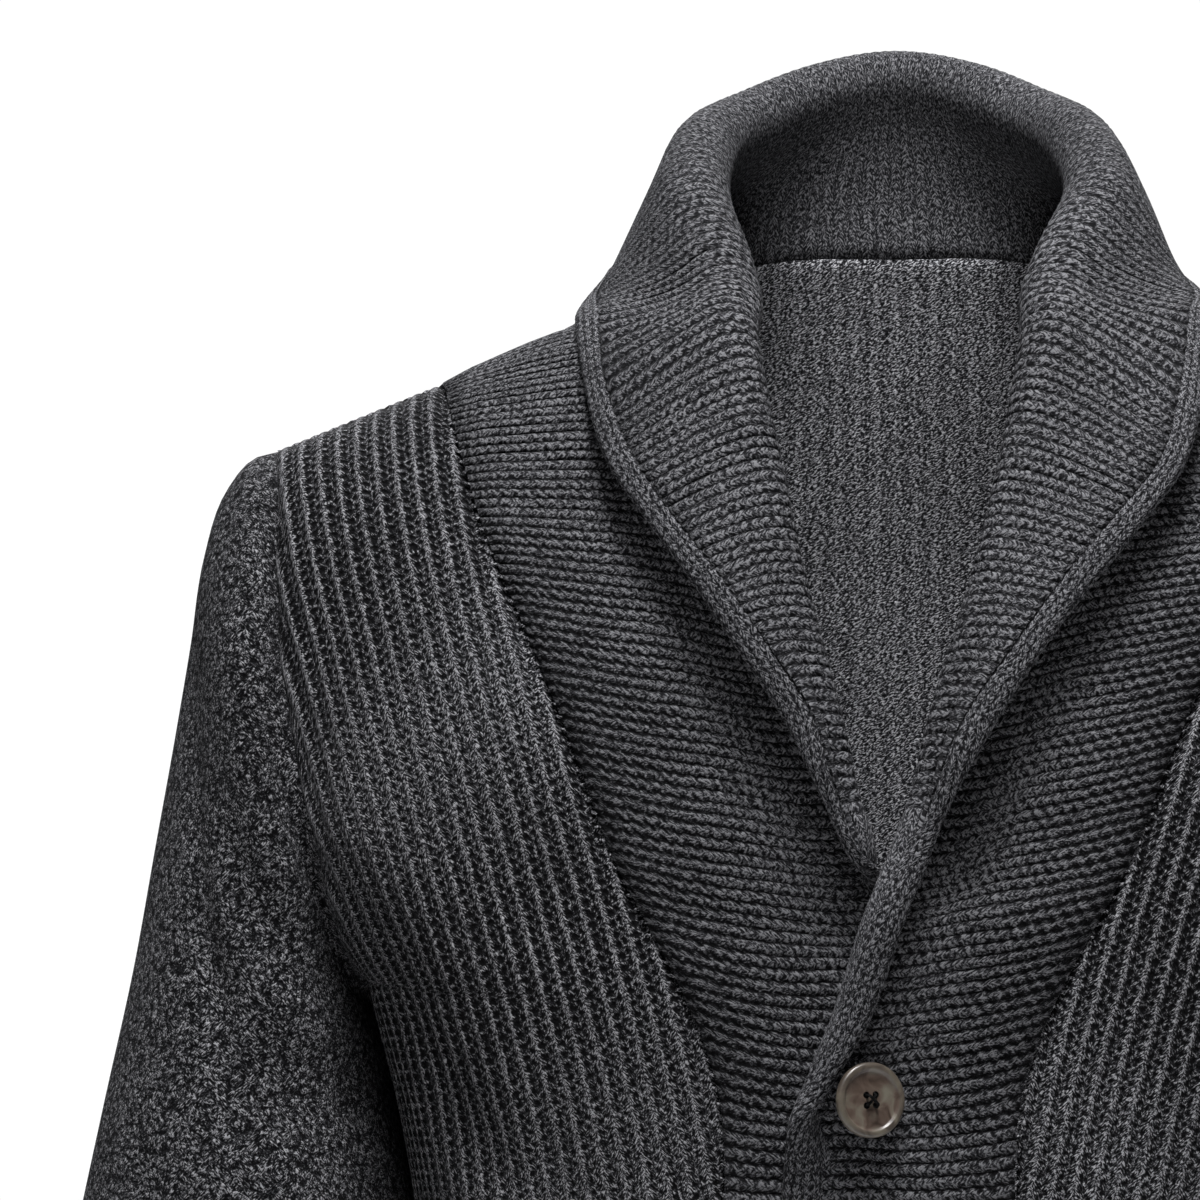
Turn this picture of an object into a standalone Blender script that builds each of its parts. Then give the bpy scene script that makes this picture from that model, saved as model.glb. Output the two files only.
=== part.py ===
"""Shawl collar cardigan, buttoned and filled out with no wearer.

Metres, +Z up, front towards -Y, the wearer's left towards +X.  The origin lies
midway between the two high shoulder points, where the wearer's neck carries it.
"""
from collections import namedtuple
from math import atan2, cos, pi, radians, sin, sqrt

import bmesh
import bpy
from mathutils import Matrix, Vector

# Cloth
WALL_BODY = 0.0030          # fronts, back and sleeves
WALL_COLLAR = 0.0040        # the heavier ribbed collar and bands
SEAM_GAP = 0.0006           # left between two pieces along a seam
ARMHOLE_GAP = 0.0011        # the same around the sleeve head

# Body
HEM_Z = -0.690
UNDERARM_Z = -0.255
CHEST_FALL = 1.9            # how the front rounds up to the shoulder
BACK_FALL = 2.3             # how the back rounds up to the shoulder
SHOULDER_TIP_X = 0.2250
SHOULDER_TIP_Z = -0.0600
SHOULDER_SLOPE = 0.40
NECK_RISE_X = 0.100         # inside this the shoulder line climbs the neck
NECK_RISE = 8.0
NECK_CORNER_X = 0.1615      # where collar, front and back meet on the shoulder
FRONT_COLUMNS = 6
SEAM_PLANE_REACH = 0.001    # points this near y = 0 lie on a side or shoulder seam

# Body sections, each a superellipse; square is its exponent
Ring = namedtuple("Ring", "z half_width front back square")
BODY = (
    Ring(HEM_Z, 0.1780, 0.1180, 0.1130, 2.40),
    Ring(-0.600, 0.1755, 0.1165, 0.1120, 2.40),
    Ring(-0.510, 0.1700, 0.1165, 0.1060, 2.42),
    Ring(-0.420, 0.1680, 0.1195, 0.1020, 2.48),
    Ring(-0.335, 0.1740, 0.1220, 0.1060, 2.66),
    Ring(UNDERARM_Z, 0.1885, 0.1220, 0.1120, 2.95),
)

# Armhole: rise is the share of the way up from underarm to shoulder, widen how
# far the chest would carry on past it
Arm = namedtuple("Arm", "rise x widen square")
ARMHOLE = (
    Arm(0.000, 0.1885, 1.000, 2.95),
    Arm(0.030, 0.1905, 1.013, 2.92),
    Arm(0.100, 0.1945, 1.042, 2.80),
    Arm(0.300, 0.2045, 1.100, 2.55),
    Arm(0.500, 0.2130, 1.127, 2.42),
    Arm(0.700, 0.2180, 1.132, 2.40),
    Arm(0.900, 0.2210, 1.132, 2.40),
    Arm(1.000, SHOULDER_TIP_X, 1.130, 2.40),
)

# Seam between each front and the collar or band sewn to it
Seam = namedtuple("Seam", "z x")
FRONT_SEAM = (
    Seam(HEM_Z, 0.0505),
    Seam(-0.310, 0.0505),
    Seam(-0.290, 0.0520),
    Seam(-0.268, 0.0580),
    Seam(-0.242, 0.0700),
    Seam(-0.206, 0.0895),
    Seam(-0.168, 0.1045),
    Seam(-0.123, 0.1245),
    Seam(-0.085, 0.1425),
    Seam(-0.060, 0.1515),
    Seam(-0.0346, NECK_CORNER_X),
)

# Back neckline, from the neck corner round to the centre back
Neck = namedtuple("Neck", "x y z")
NECKLINE = (
    Neck(0.0000, 0.0930, 0.0150),
    Neck(0.0420, 0.0905, 0.0145),
    Neck(0.0800, 0.0820, 0.0060),
    Neck(0.1130, 0.0660, -0.0095),
    Neck(0.1380, 0.0420, -0.0225),
    Neck(0.1540, 0.0160, -0.0312),
    Neck(NECK_CORNER_X, 0.0000, -0.0346),
)

# Sleeve rings below the armhole: the outer and inner ends of each ring, and
# how much of the armhole's bow the ring still has
Sleeve = namedtuple("Sleeve", "outer_x outer_z inner_x inner_z half_depth y bow")
SLEEVE = (
    Sleeve(0.2345, -0.0630, 0.1909, -0.2625, 0.0625, 0.001, 1.00),
    Sleeve(0.2440, -0.0750, 0.1904, -0.2700, 0.0655, 0.001, 0.90),
    Sleeve(0.2515, -0.0980, 0.1892, -0.2790, 0.0665, 0.000, 0.75),
    Sleeve(0.2565, -0.1300, 0.1875, -0.2900, 0.0660, -0.001, 0.55),
    Sleeve(0.2625, -0.1660, 0.1854, -0.3020, 0.0650, -0.003, 0.35),
    Sleeve(0.2695, -0.2050, 0.1832, -0.3150, 0.0640, -0.004, 0.20),
    Sleeve(0.2770, -0.2480, 0.1817, -0.3300, 0.0630, -0.006, 0.10),
    Sleeve(0.2870, -0.2980, 0.1816, -0.3530, 0.0620, -0.011, 0.00),
    Sleeve(0.2970, -0.3480, 0.1878, -0.3880, 0.0600, -0.016, 0.00),
    Sleeve(0.3080, -0.4050, 0.2017, -0.4380, 0.0570, -0.021, 0.00),
    Sleeve(0.3230, -0.4850, 0.2243, -0.5110, 0.0520, -0.028, 0.00),
    Sleeve(0.3390, -0.5750, 0.2492, -0.5960, 0.0465, -0.036, 0.00),
    Sleeve(0.3545, -0.6650, 0.2745, -0.6830, 0.0415, -0.044, 0.00),
)

# Collar and bands, one strip from hem to hem.  Each station is one crossing of
# the strip: sewn edge, fold and free edge.  x is outward on the strip's own
# side, lift is how far the cloth stands off the chest at the fold, rise how
# much further the free edge stands, roll the fold's radius, start and end its
# angles.  A flat station has no roll.
Station = namedtuple("Station", "seam_z fold_x fold_z edge_x edge_z roll start end lift rise")
FLAT = -90.0
UNDER_LIFT = -0.0027        # the wearer's right band lies under
OVER_LIFT = 0.0027          # the wearer's left band lies over it
RIGHT_HALF = (
    Station(HEM_Z, -0.0150, HEM_Z, -0.0310, HEM_Z, 0, FLAT, FLAT, UNDER_LIFT, 0),
    Station(-0.600, -0.0150, -0.600, -0.0310, -0.600, 0, FLAT, FLAT, UNDER_LIFT, 0),
    Station(-0.510, -0.0150, -0.510, -0.0310, -0.510, 0, FLAT, FLAT, UNDER_LIFT, 0),
    Station(-0.420, -0.0150, -0.420, -0.0310, -0.420, 0, FLAT, FLAT, UNDER_LIFT, 0),
    Station(-0.335, -0.0150, -0.335, -0.0310, -0.335, 0, FLAT, FLAT, UNDER_LIFT, 0),
    Station(-0.305, -0.0148, -0.305, -0.0305, -0.305, 0, FLAT, FLAT, UNDER_LIFT, 0),
    Station(-0.2925, -0.0140, -0.293, -0.0298, -0.293, 0, FLAT, FLAT, UNDER_LIFT, 0),
    Station(-0.280, -0.0130, -0.281, -0.0285, -0.281, 0, FLAT, FLAT, UNDER_LIFT, 0),
    Station(UNDERARM_Z, -0.0092, -0.2570, -0.0235, -0.257, 0, FLAT, FLAT, UNDER_LIFT, 0),
    Station(-0.240, -0.0072, -0.2425, -0.0200, -0.2420, 0, FLAT, FLAT, UNDER_LIFT, 0),
    Station(-0.222, -0.0045, -0.2260, -0.0150, -0.2260, 0.0200, -90, -74, -0.0027, 0.0010),
    Station(-0.210, -0.0025, -0.2140, -0.0095, -0.2140, 0.0120, -90, -66, -0.0025, 0.0016),
    Station(-0.199, -0.0004, -0.2030, 0.0042, -0.2060, 0.0042, -90, 66, -0.0010, 0.0105),
    Station(-0.176, 0.0065, -0.1805, 0.0150, -0.1850, 0.0046, -92, 84, 0.0000, 0.0094),
    Station(-0.149, 0.0130, -0.1525, 0.0275, -0.1600, 0.0054, -95, 84, 0.0000, 0.0092),
    Station(-0.121, 0.0200, -0.1250, 0.0425, -0.1365, 0.0062, -97, 84, 0.0000, 0.0120),
    Station(-0.094, 0.0265, -0.0970, 0.0605, -0.1105, 0.0070, -99, 82, 0.0000, 0.0120),
    Station(-0.071, 0.0325, -0.0690, 0.0790, -0.0870, 0.0080, -101, 80, 0.0000, 0.0120),
    Station(-0.051, 0.0395, -0.0425, 0.0945, -0.0650, 0.0090, -104, 78, 0.0000, 0.0115),
    Station(-0.039, 0.0465, -0.0165, 0.1045, -0.0400, 0.0100, -108, 75, 0.0000, 0.0105),
)
LEFT_HALF = (
    Station(HEM_Z, -0.0150, HEM_Z, -0.0310, HEM_Z, 0, FLAT, FLAT, OVER_LIFT, 0),
    Station(-0.600, -0.0150, -0.600, -0.0310, -0.600, 0, FLAT, FLAT, OVER_LIFT, 0),
    Station(-0.510, -0.0150, -0.510, -0.0310, -0.510, 0, FLAT, FLAT, OVER_LIFT, 0),
    Station(-0.420, -0.0150, -0.420, -0.0310, -0.420, 0, FLAT, FLAT, OVER_LIFT, 0),
    Station(-0.335, -0.0160, -0.335, -0.0308, -0.335, 0, FLAT, FLAT, OVER_LIFT, 0),
    Station(-0.305, -0.0190, -0.306, -0.0286, -0.306, 0.0120, -90, -62, 0.0030, 0.0055),
    Station(-0.2925, -0.0222, -0.293, -0.0240, -0.293, 0.0048, -90, -10, 0.0034, 0.0130),
    Station(-0.280, -0.0200, -0.281, -0.0130, -0.281, 0.0045, -90, 44, 0.0040, 0.0130),
    Station(UNDERARM_Z, -0.0110, -0.2565, 0.0010, -0.257, 0.0042, -90, 82, 0.0055, 0.0098),
    Station(-0.240, -0.0062, -0.2420, 0.0062, -0.2425, 0.0042, -90, 86, 0.0064, 0.0100),
    Station(-0.222, -0.0005, -0.2250, 0.0118, -0.2260, 0.0045, -90, 88, 0.0080, 0.0100),
    Station(-0.210, 0.0038, -0.2150, 0.0160, -0.2165, 0.0047, -90, 87, 0.0078, 0.0100),
    Station(-0.199, 0.0080, -0.2055, 0.0200, -0.2075, 0.0048, -90, 86, 0.0066, 0.0100),
    Station(-0.176, 0.0165, -0.1830, 0.0280, -0.1865, 0.0053, -92, 84, 0.0035, 0.0110),
    Station(-0.149, 0.0230, -0.1550, 0.0410, -0.1620, 0.0058, -95, 84, 0.0015, 0.0115),
    Station(-0.121, 0.0305, -0.1270, 0.0570, -0.1370, 0.0064, -97, 84, 0.0000, 0.0120),
    Station(-0.094, 0.0380, -0.0990, 0.0755, -0.1110, 0.0072, -99, 82, 0.0000, 0.0120),
    Station(-0.071, 0.0445, -0.0715, 0.0940, -0.0885, 0.0082, -101, 80, 0.0000, 0.0120),
    Station(-0.051, 0.0505, -0.0445, 0.1090, -0.0680, 0.0092, -104, 78, 0.0000, 0.0115),
    Station(-0.039, 0.0560, -0.0175, 0.1155, -0.0420, 0.0102, -108, 75, 0.0000, 0.0105),
)
Behind = namedtuple("Behind", "seam middle fold edge roll start end")
BACK_HALF = (
    Behind((NECK_CORNER_X, 0.000, -0.0346), (0.1085, -0.014, -0.0157), (0.0540, -0.046, 0.0010),
           (0.1150, -0.024, -0.0138), 0.0106, -110, 72),
    Behind((0.1540, 0.016, -0.0312), (0.1080, -0.002, -0.0140), (0.0590, -0.034, 0.0135),
           (0.1160, -0.004, -0.0095), 0.0112, -112, 70),
    Behind((0.1380, 0.042, -0.0225), (0.1000, 0.030, -0.0060), (0.0735, 0.003, 0.0440),
           (0.1085, 0.041, 0.0002), 0.0120, -115, 66),
    Behind((0.1130, 0.066, -0.0095), (0.0885, 0.052, 0.0110), (0.0705, 0.040, 0.0660),
           (0.1040, 0.076, 0.0045), 0.0115, -118, 68),
    Behind((0.0800, 0.082, 0.0060), (0.0680, 0.075, 0.0330), (0.0540, 0.066, 0.0775),
           (0.0830, 0.0965, -0.0065), 0.0102, -122, 76),
    Behind((0.0420, 0.0905, 0.0145), (0.0380, 0.088, 0.0440), (0.0290, 0.084, 0.0885),
           (0.0430, 0.1060, -0.0110), 0.0096, -126, 82),
)
CENTRE_BACK = Behind((0, 0.093, 0.0150), (0, 0.092, 0.0460), (0, 0.089, 0.0930),
                     (0, 0.1085, -0.0120), 0.0094, -128, 84)
NECK_LEAN = 0.0040          # fold and free edge sit this far to the wearer's left
LEAN_DEPTH = 0.060          # the lean has gone this far behind the shoulder line
BACK_SPREAD = (0.193, 0.2150, SHOULDER_TIP_X)   # columns beyond the collar
NECK_AXIS_Y = 0.020         # the roll turns outward from here
AXIS_FLAT_Z = -0.240        # below this it turns straight forward instead
AXIS_ROUND_Z = -0.150
FLAT_RUN = 0.012            # length of a flat station's middle part
STAND_STEPS = 6
ROLL_STEPS = 5
FALL_STEPS = 5
OVERLAP_FROM_X = 0.0505     # the two bands part between these two
OVERLAP_FULL_X = 0.0360

# Tubular edging along the free edge of collar and bands
EDGING_WIDTH = 0.0090
EDGING_WIDE = 0.0125        # where the bands overlap, below these heights
EDGING_WIDE_FROM_Z = -0.200
EDGING_WIDE_FULL_Z = -0.240
EDGING_THICKNESS = 0.0046
EDGING_SIDES = 8

# Buttons down the centre front
BUTTON_TOP_Z = -0.287
BUTTON_PITCH = 0.090
BUTTON_COUNT = 5
BUTTON_RADIUS = 0.0130
BUTTON_THICKNESS = 0.0032
BUTTON_STEPS = 36
DISH_RADIUS = 0.0104
DISH_DEPTH = 0.0007
RIM_ROUND = 0.0008
HOLE_RADIUS = 0.0011
HOLE_SIDES = 12
HOLE_OFFSET = 0.0017
TOP_BUTTON_TURN = 30.0      # degrees, rolled back with the edge below it
TOP_BUTTON_NOD = 5.0
TOP_BUTTON_STANDOFF = 0.0066
TOP_BUTTON_LIFT = 0.0042    # the band stands a little higher under the top button
BUTTON_STANDOFF = 0.0016    # from the band to a button's underside
THREAD_RADIUS = 0.00055
THREAD_GAP = 0.0003
THREAD_FOOT_GAP = 0.0005

# Rest colours, linear
CHARCOAL = (0.060, 0.060, 0.064, 1.0)
CHARCOAL_DARK = (0.048, 0.048, 0.051, 1.0)
HORN = (0.190, 0.150, 0.130, 1.0)
THREAD_BLACK = (0.012, 0.012, 0.013, 1.0)


def clear_scene():
    """Start with nothing in the file."""
    for thing in list(bpy.data.objects):
        bpy.data.objects.remove(thing, do_unlink=True)


def make_material(name, colour, roughness):
    """Plain surface finish."""
    material = bpy.data.materials.new(name)
    material.use_nodes = True
    shader = material.node_tree.nodes["Principled BSDF"]
    shader.inputs["Base Color"].default_value = colour
    shader.inputs["Roughness"].default_value = roughness
    material.diffuse_color = colour
    return material


def smoothstep(low, high, value):
    """0 below low, 1 above high, eased between."""
    share = min(1.0, max(0.0, (value - low) / (high - low)))
    return share * share * (3.0 - 2.0 * share)


def table_at(table, key, column, at):
    """Read a column of a table at any key, on a cubic through its rows."""
    keys = [getattr(row, key) for row in table]
    values = [getattr(row, column) for row in table]
    if at <= keys[0]:
        return values[0]
    if at >= keys[-1]:
        return values[-1]
    i = max(k for k in range(len(keys) - 1) if keys[k] <= at)
    span = keys[i + 1] - keys[i]
    rate = (values[i + 1] - values[i]) / span
    before = (values[i] - values[i - 1]) / (keys[i] - keys[i - 1]) if i else rate
    last = i + 2 < len(keys)
    after = (values[i + 2] - values[i + 1]) / (keys[i + 2] - keys[i + 1]) if last else rate
    slope_in = 0.5 * (before + rate) if before * rate > 0 else 0.0
    slope_out = 0.5 * (after + rate) if after * rate > 0 else 0.0
    t = (at - keys[i]) / span
    return (values[i] * (1 + 2 * t) * (1 - t) ** 2
            + values[i + 1] * t * t * (3 - 2 * t)
            + span * slope_in * t * (1 - t) ** 2
            + span * slope_out * t * t * (t - 1))


def shoulder_z(x):
    """Height of the shoulder line, climbing the neck inside NECK_RISE_X."""
    climb = max(0.0, NECK_RISE_X - x)
    return SHOULDER_TIP_Z + (SHOULDER_TIP_X - x) * SHOULDER_SLOPE + NECK_RISE * climb * climb


def section_width(rise):
    """Half width that the body's section would have without the armhole."""
    return table_at(ARMHOLE, "rise", "x", rise) * table_at(ARMHOLE, "rise", "widen", rise)


def section_share(x, half_width, square):
    """Depth at x as a share of the section's full depth."""
    return max(0.0, 1.0 - (abs(x) / half_width) ** square) ** (1.0 / square)


def upper_share(x, rise):
    """The same above the underarm."""
    return section_share(x, section_width(rise), table_at(ARMHOLE, "rise", "square", rise))


def lower_share(x, z):
    """The same from the hem to the underarm."""
    return section_share(x, table_at(BODY, "z", "half_width", z), table_at(BODY, "z", "square", z))


def front_y(x, z):
    """Depth of the front's outer face, carried on to the centre line."""
    x = abs(x)
    if z <= UNDERARM_Z:
        return -table_at(BODY, "z", "front", z) * lower_share(x, z)
    rise = min(1.0, (z - UNDERARM_Z) / (shoulder_z(x) - UNDERARM_Z))
    full = BODY[-1].front * (1.0 - rise ** CHEST_FALL) ** (1.0 / CHEST_FALL)
    return -full * upper_share(x, rise)


def back_top(x):
    """Upper edge of the back at x: the shoulder seam, or the neckline."""
    if x >= NECK_CORNER_X:
        return Vector((x, 0.0, shoulder_z(x)))
    return Vector((x, table_at(NECKLINE, "x", "y", x), table_at(NECKLINE, "x", "z", x)))


def back_point(x, rise):
    """Outer face of the back above the underarm."""
    top = back_top(abs(x))
    low = BODY[-1].back * upper_share(x, rise)
    ease = 1.0 - 0.52 * smoothstep(0.02, NECK_CORNER_X, abs(x))
    y = top.y + (low - top.y) * max(0.0, 1.0 - rise ** BACK_FALL) ** ease
    return Vector((x, y, UNDERARM_Z + rise * (top.z - UNDERARM_Z)))


def lower_heights():
    """Row heights below the underarm, the collar's own stations."""
    return [station.seam_z for station in RIGHT_HALF if station.seam_z < UNDERARM_Z]


def upper_rises():
    """Rows above the underarm, where the collar's stations meet the front."""
    rises = []
    for station in RIGHT_HALF:
        if station.seam_z >= UNDERARM_Z:
            top = shoulder_z(table_at(FRONT_SEAM, "z", "x", station.seam_z))
            rises.append((station.seam_z - UNDERARM_Z) / (top - UNDERARM_Z))
    return rises + [1.0]


def spread(inner, outer, half_width, square, count):
    """Places from inner to outer, even around the section."""
    first = max(0.0, inner / half_width) ** (square / 2.0)
    last = min(1.0, outer / half_width) ** (square / 2.0)
    start = atan2(first, sqrt(max(0.0, 1.0 - first * first)))
    stop = atan2(last, sqrt(max(0.0, 1.0 - last * last)))
    angles = [start + (stop - start) * k / count for k in range(count + 1)]
    return [half_width * sin(angle) ** (2.0 / square) for angle in angles]


def lower_places(inner, z, count):
    """Places across a section below the underarm."""
    width = table_at(BODY, "z", "half_width", z)
    return spread(inner, width, width, table_at(BODY, "z", "square", z), count)


def upper_places(inner, rise, count):
    """Places across a section above the underarm, out to the armhole."""
    outer = table_at(ARMHOLE, "rise", "x", rise)
    return spread(inner, outer, section_width(rise), table_at(ARMHOLE, "rise", "square", rise), count)


def back_places(outer):
    """Places across the back: the collar's stations, then out to the side."""
    columns = [0.0] + [station.seam[0] for station in BACK_HALF[::-1]] + list(BACK_SPREAD)
    places = [outer * x / SHOULDER_TIP_X for x in columns]
    return [-x for x in reversed(places[1:])] + places


def front_rows(side):
    """Grid of one front's outer face, hem to shoulder, seam to side."""
    rows = []
    inset = SEAM_GAP / 2.0
    for z in lower_heights():
        seam = table_at(FRONT_SEAM, "z", "x", z) + inset
        rows.append([Vector((side * x, front_y(x, z) - inset, z))
                     for x in lower_places(seam, z, FRONT_COLUMNS)])
    for rise, seam_z in zip(upper_rises(), upper_seam_heights()):
        seam = table_at(FRONT_SEAM, "z", "x", seam_z) + inset
        row = []
        for x in upper_places(seam, rise, FRONT_COLUMNS):
            z = UNDERARM_Z + rise * (shoulder_z(x) - UNDERARM_Z)
            row.append(Vector((side * x, front_y(x, z - 1e-6) - inset, z)))
        rows.append(row)
    return rows


def upper_seam_heights():
    """Heights of the front seam on the rows above the underarm."""
    return [s.seam_z for s in RIGHT_HALF if s.seam_z >= UNDERARM_Z] + [FRONT_SEAM[-1].z]


def back_rows():
    """Grid of the back's outer face, hem to shoulders and neckline."""
    rows = []
    inset = SEAM_GAP / 2.0
    for z in lower_heights():
        depth = table_at(BODY, "z", "back", z)
        rows.append([Vector((x, depth * lower_share(x, z) + inset, z))
                     for x in back_places(table_at(BODY, "z", "half_width", z))])
    for rise in upper_rises():
        rows.append([back_point(x, rise) + Vector((0.0, inset, 0.0))
                     for x in back_places(table_at(ARMHOLE, "rise", "x", rise))])
    return rows


def sleeve_rows(side):
    """Rings of one sleeve's outer face, armhole to cuff."""
    rises = upper_rises()
    outline = [(rise, -1.0) for rise in rises] + [(rise, 1.0) for rise in reversed(rises[1:-1])]
    first = []
    for rise, face in outline:
        x = table_at(ARMHOLE, "rise", "x", rise)
        z = UNDERARM_Z + rise * (SHOULDER_TIP_Z - UNDERARM_Z)
        y = front_y(x, z - 1e-6) if face < 0 else back_point(x, rise).y
        height = UNDERARM_Z + rise * (shoulder_z(x) - UNDERARM_Z)
        first.append(Vector((side * (x + ARMHOLE_GAP), y, height)))
    rings = [first]
    for row in SLEEVE:
        outer = Vector((row.outer_x, row.y, row.outer_z))
        inner = Vector((row.inner_x, row.y, row.inner_z))
        ring = []
        for rise, face in outline:
            point = inner.lerp(outer, rise)
            straight = ARMHOLE[0].x + rise * (SHOULDER_TIP_X - ARMHOLE[0].x)
            bow = row.bow * (table_at(ARMHOLE, "rise", "x", rise) - straight)
            depth = row.half_depth * sqrt(max(0.0, 1.0 - (2.0 * rise - 1.0) ** 2))
            ring.append(Vector((side * (point.x + bow), point.y + face * depth, point.z)))
        rings.append(ring)
    return rings


def front_crossing(station, side, seam_x):
    """Seam, middle, fold and edge points of one station on the chest."""
    seam = Vector((seam_x, front_y(seam_x, station.seam_z), station.seam_z))
    fold_y = front_y(station.fold_x, station.fold_z) - station.lift
    if station.end > FLAT:
        fold_y -= station.roll * (1.0 + sin(radians(min(0.0, station.end))))
    fold = Vector((station.fold_x, fold_y, station.fold_z))
    edge_y = front_y(station.edge_x, station.edge_z) - station.lift - station.rise
    edge = Vector((station.edge_x, edge_y, station.edge_z))
    middle = seam.lerp(fold, 0.5)
    parted = smoothstep(OVERLAP_FROM_X, OVERLAP_FULL_X, middle.x)
    middle.y = front_y(middle.x, middle.z) - station.lift * parted
    return [Vector((side * p.x, p.y, p.z)) for p in (seam, middle, fold, edge)]


def back_crossing(station, side):
    """The same four points of one station behind the shoulder."""
    still = [Vector((side * x, y, z)) for x, y, z in (station.seam, station.middle)]
    leaning = [Vector((side * x + NECK_LEAN * smoothstep(LEAN_DEPTH, 0.0, y), y, z))
               for x, y, z in (station.fold, station.edge)]
    return still + leaning


def collar_crossings():
    """Every station from the right hem round the neck to the left hem."""
    right = [(front_crossing(s, -1, table_at(FRONT_SEAM, "z", "x", s.seam_z)), s)
             for s in RIGHT_HALF]
    right += [(back_crossing(s, -1), s) for s in BACK_HALF]
    left = [(front_crossing(s, 1, table_at(FRONT_SEAM, "z", "x", s.seam_z)), s)
            for s in LEFT_HALF]
    left += [(back_crossing(s, 1), s) for s in BACK_HALF]
    return right + [(back_crossing(CENTRE_BACK, 1), CENTRE_BACK)] + left[::-1]


def hermite(start, leave, finish, arrive, t):
    """Point on a cubic from start to finish with the given end tangents."""
    return (start * ((1 + 2 * t) * (1 - t) ** 2) + finish * (t * t * (3 - 2 * t))
            + leave * (t * (1 - t) ** 2) + arrive * (t * t * (t - 1)))


def crossing_curve(points, station, along):
    """The strip's middle surface across one station, seam to edging.

    Returns the points, the edging's centre, and its across and outward
    directions.
    """
    seam, middle, fold, edge = points
    round_share = smoothstep(AXIS_FLAT_Z, AXIS_ROUND_Z, fold.z)
    outward = Vector((fold.x * round_share, fold.y - NECK_AXIS_Y, 0.0))
    outward = (outward - along * outward.dot(along)).normalized()
    inward = along.cross(outward).normalized()
    if inward.dot(fold - seam) < 0:
        inward = -inward
    if station.end <= FLAT:
        inward = (fold - middle).normalized()
        start = fold - inward * FLAT_RUN
        arc = [start.lerp(fold, k / ROLL_STEPS) for k in range(ROLL_STEPS + 1)]
        leave = inward
        arrive = inward
    else:
        peak = radians(min(0.0, station.end))
        centre = fold - (inward * cos(peak) + outward * sin(peak)) * station.roll
        first = radians(station.start)
        last = radians(station.end)
        arc = []
        for k in range(ROLL_STEPS + 1):
            turn = first + (last - first) * k / ROLL_STEPS
            arc.append(centre + (inward * cos(turn) + outward * sin(turn)) * station.roll)
        arrive = outward * cos(first) - inward * sin(first)
        leave = outward * cos(last) - inward * sin(last)
    lead = SEAM_GAP / (middle - seam).length
    bend = (arc[0] - seam).normalized() * (arc[0] - middle).length
    stand = []
    for k in range(STAND_STEPS):
        share = 2.0 * k / STAND_STEPS
        if share <= 1.0:
            stand.append(hermite(seam, middle - seam, middle, bend, max(lead, share)))
        else:
            reach = arrive * (arc[0] - middle).length
            stand.append(hermite(middle, bend, arc[0], reach, share - 1.0))
    span = (edge - arc[-1]).length
    wide = smoothstep(EDGING_WIDE_FROM_Z, EDGING_WIDE_FULL_Z, edge.z)
    room = min(EDGING_WIDTH + (EDGING_WIDE - EDGING_WIDTH) * wide, span - 0.0015)
    pull = leave * span
    push = edge - arc[-1]
    near = 0.0
    stop = 1.0
    while stop - near > 1e-5:
        halfway = 0.5 * (near + stop)
        if (edge - hermite(arc[-1], pull, edge, push, halfway)).length > room + SEAM_GAP:
            near = halfway
        else:
            stop = halfway
    fall = [hermite(arc[-1], pull, edge, push, near * k / FALL_STEPS)
            for k in range(1, FALL_STEPS + 1)]
    across = (edge - fall[-1]).normalized()
    centre = edge - across * (0.5 * room)
    normal = across.cross(along).normalized()
    return stand + arc + fall, centre, across, normal, room


def collar_rows():
    """Grid of the strip's middle surface and the frames of its edging."""
    crossings = collar_crossings()
    rows = []
    frames = []
    for i, (points, station) in enumerate(crossings):
        before = crossings[max(0, i - 1)][0][2]
        after = crossings[min(len(crossings) - 1, i + 1)][0][2]
        along = (after - before).normalized()
        row, centre, across, normal, room = crossing_curve(points, station, along)
        rows.append(row)
        frames.append((centre, across, normal, room))
    return rows, frames


def add_object(name, bm, material):
    """Finish a bmesh as one named object."""
    bmesh.ops.recalc_face_normals(bm, faces=bm.faces[:])
    mesh = bpy.data.meshes.new(name)
    bm.to_mesh(mesh)
    bm.free()
    mesh.materials.append(material)
    thing = bpy.data.objects.new(name, mesh)
    bpy.context.scene.collection.objects.link(thing)
    return thing


def grid_faces(bm, rows, closed):
    """Quads between neighbouring rows; closed joins each row into a ring."""
    grid = [[bm.verts.new(point) for point in row] for row in rows]
    count = len(rows[0])
    for low, high in zip(grid, grid[1:]):
        for k in range(count if closed else count - 1):
            n = (k + 1) % count
            bm.faces.new((low[k], low[n], high[n], high[k]))
    return grid


def tangent(before, here, after):
    """Direction through a point, midway between its two neighbours' lines."""
    return (here - before).normalized() + (after - here).normalized()


def grid_normals(rows, closed, inside_point):
    """Unit normals of a grid, away from a point inside the garment.

    Along the side and shoulder seams and the hem they stay in the plane of
    the seam, so that the walls of two neighbours cannot meet.
    """
    count = len(rows[0])
    normals = []
    facing = 0.0
    for i, row in enumerate(rows):
        low = rows[max(0, i - 1)]
        high = rows[min(len(rows) - 1, i + 1)]
        line = []
        for k, here in enumerate(row):
            before = row[k - 1] if closed else row[max(0, k - 1)]
            after = row[(k + 1) % count] if closed else row[min(count - 1, k + 1)]
            normal = tangent(before, here, after).cross(tangent(low[k], here, high[k]))
            if not closed and abs(here.y) < SEAM_PLANE_REACH:
                normal.y = 0.0
            if here.z == HEM_Z:
                normal.z = 0.0
            line.append(normal.normalized())
            facing += line[-1].dot(here - inside_point)
        normals.append(line)
    if facing < 0:
        normals = [[-normal for normal in line] for line in normals]
    return normals


def shifted(rows, normals, distance):
    """The grid moved along its normals."""
    return [[point + normal * distance for point, normal in zip(row, line)]
            for row, line in zip(rows, normals)]


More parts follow.
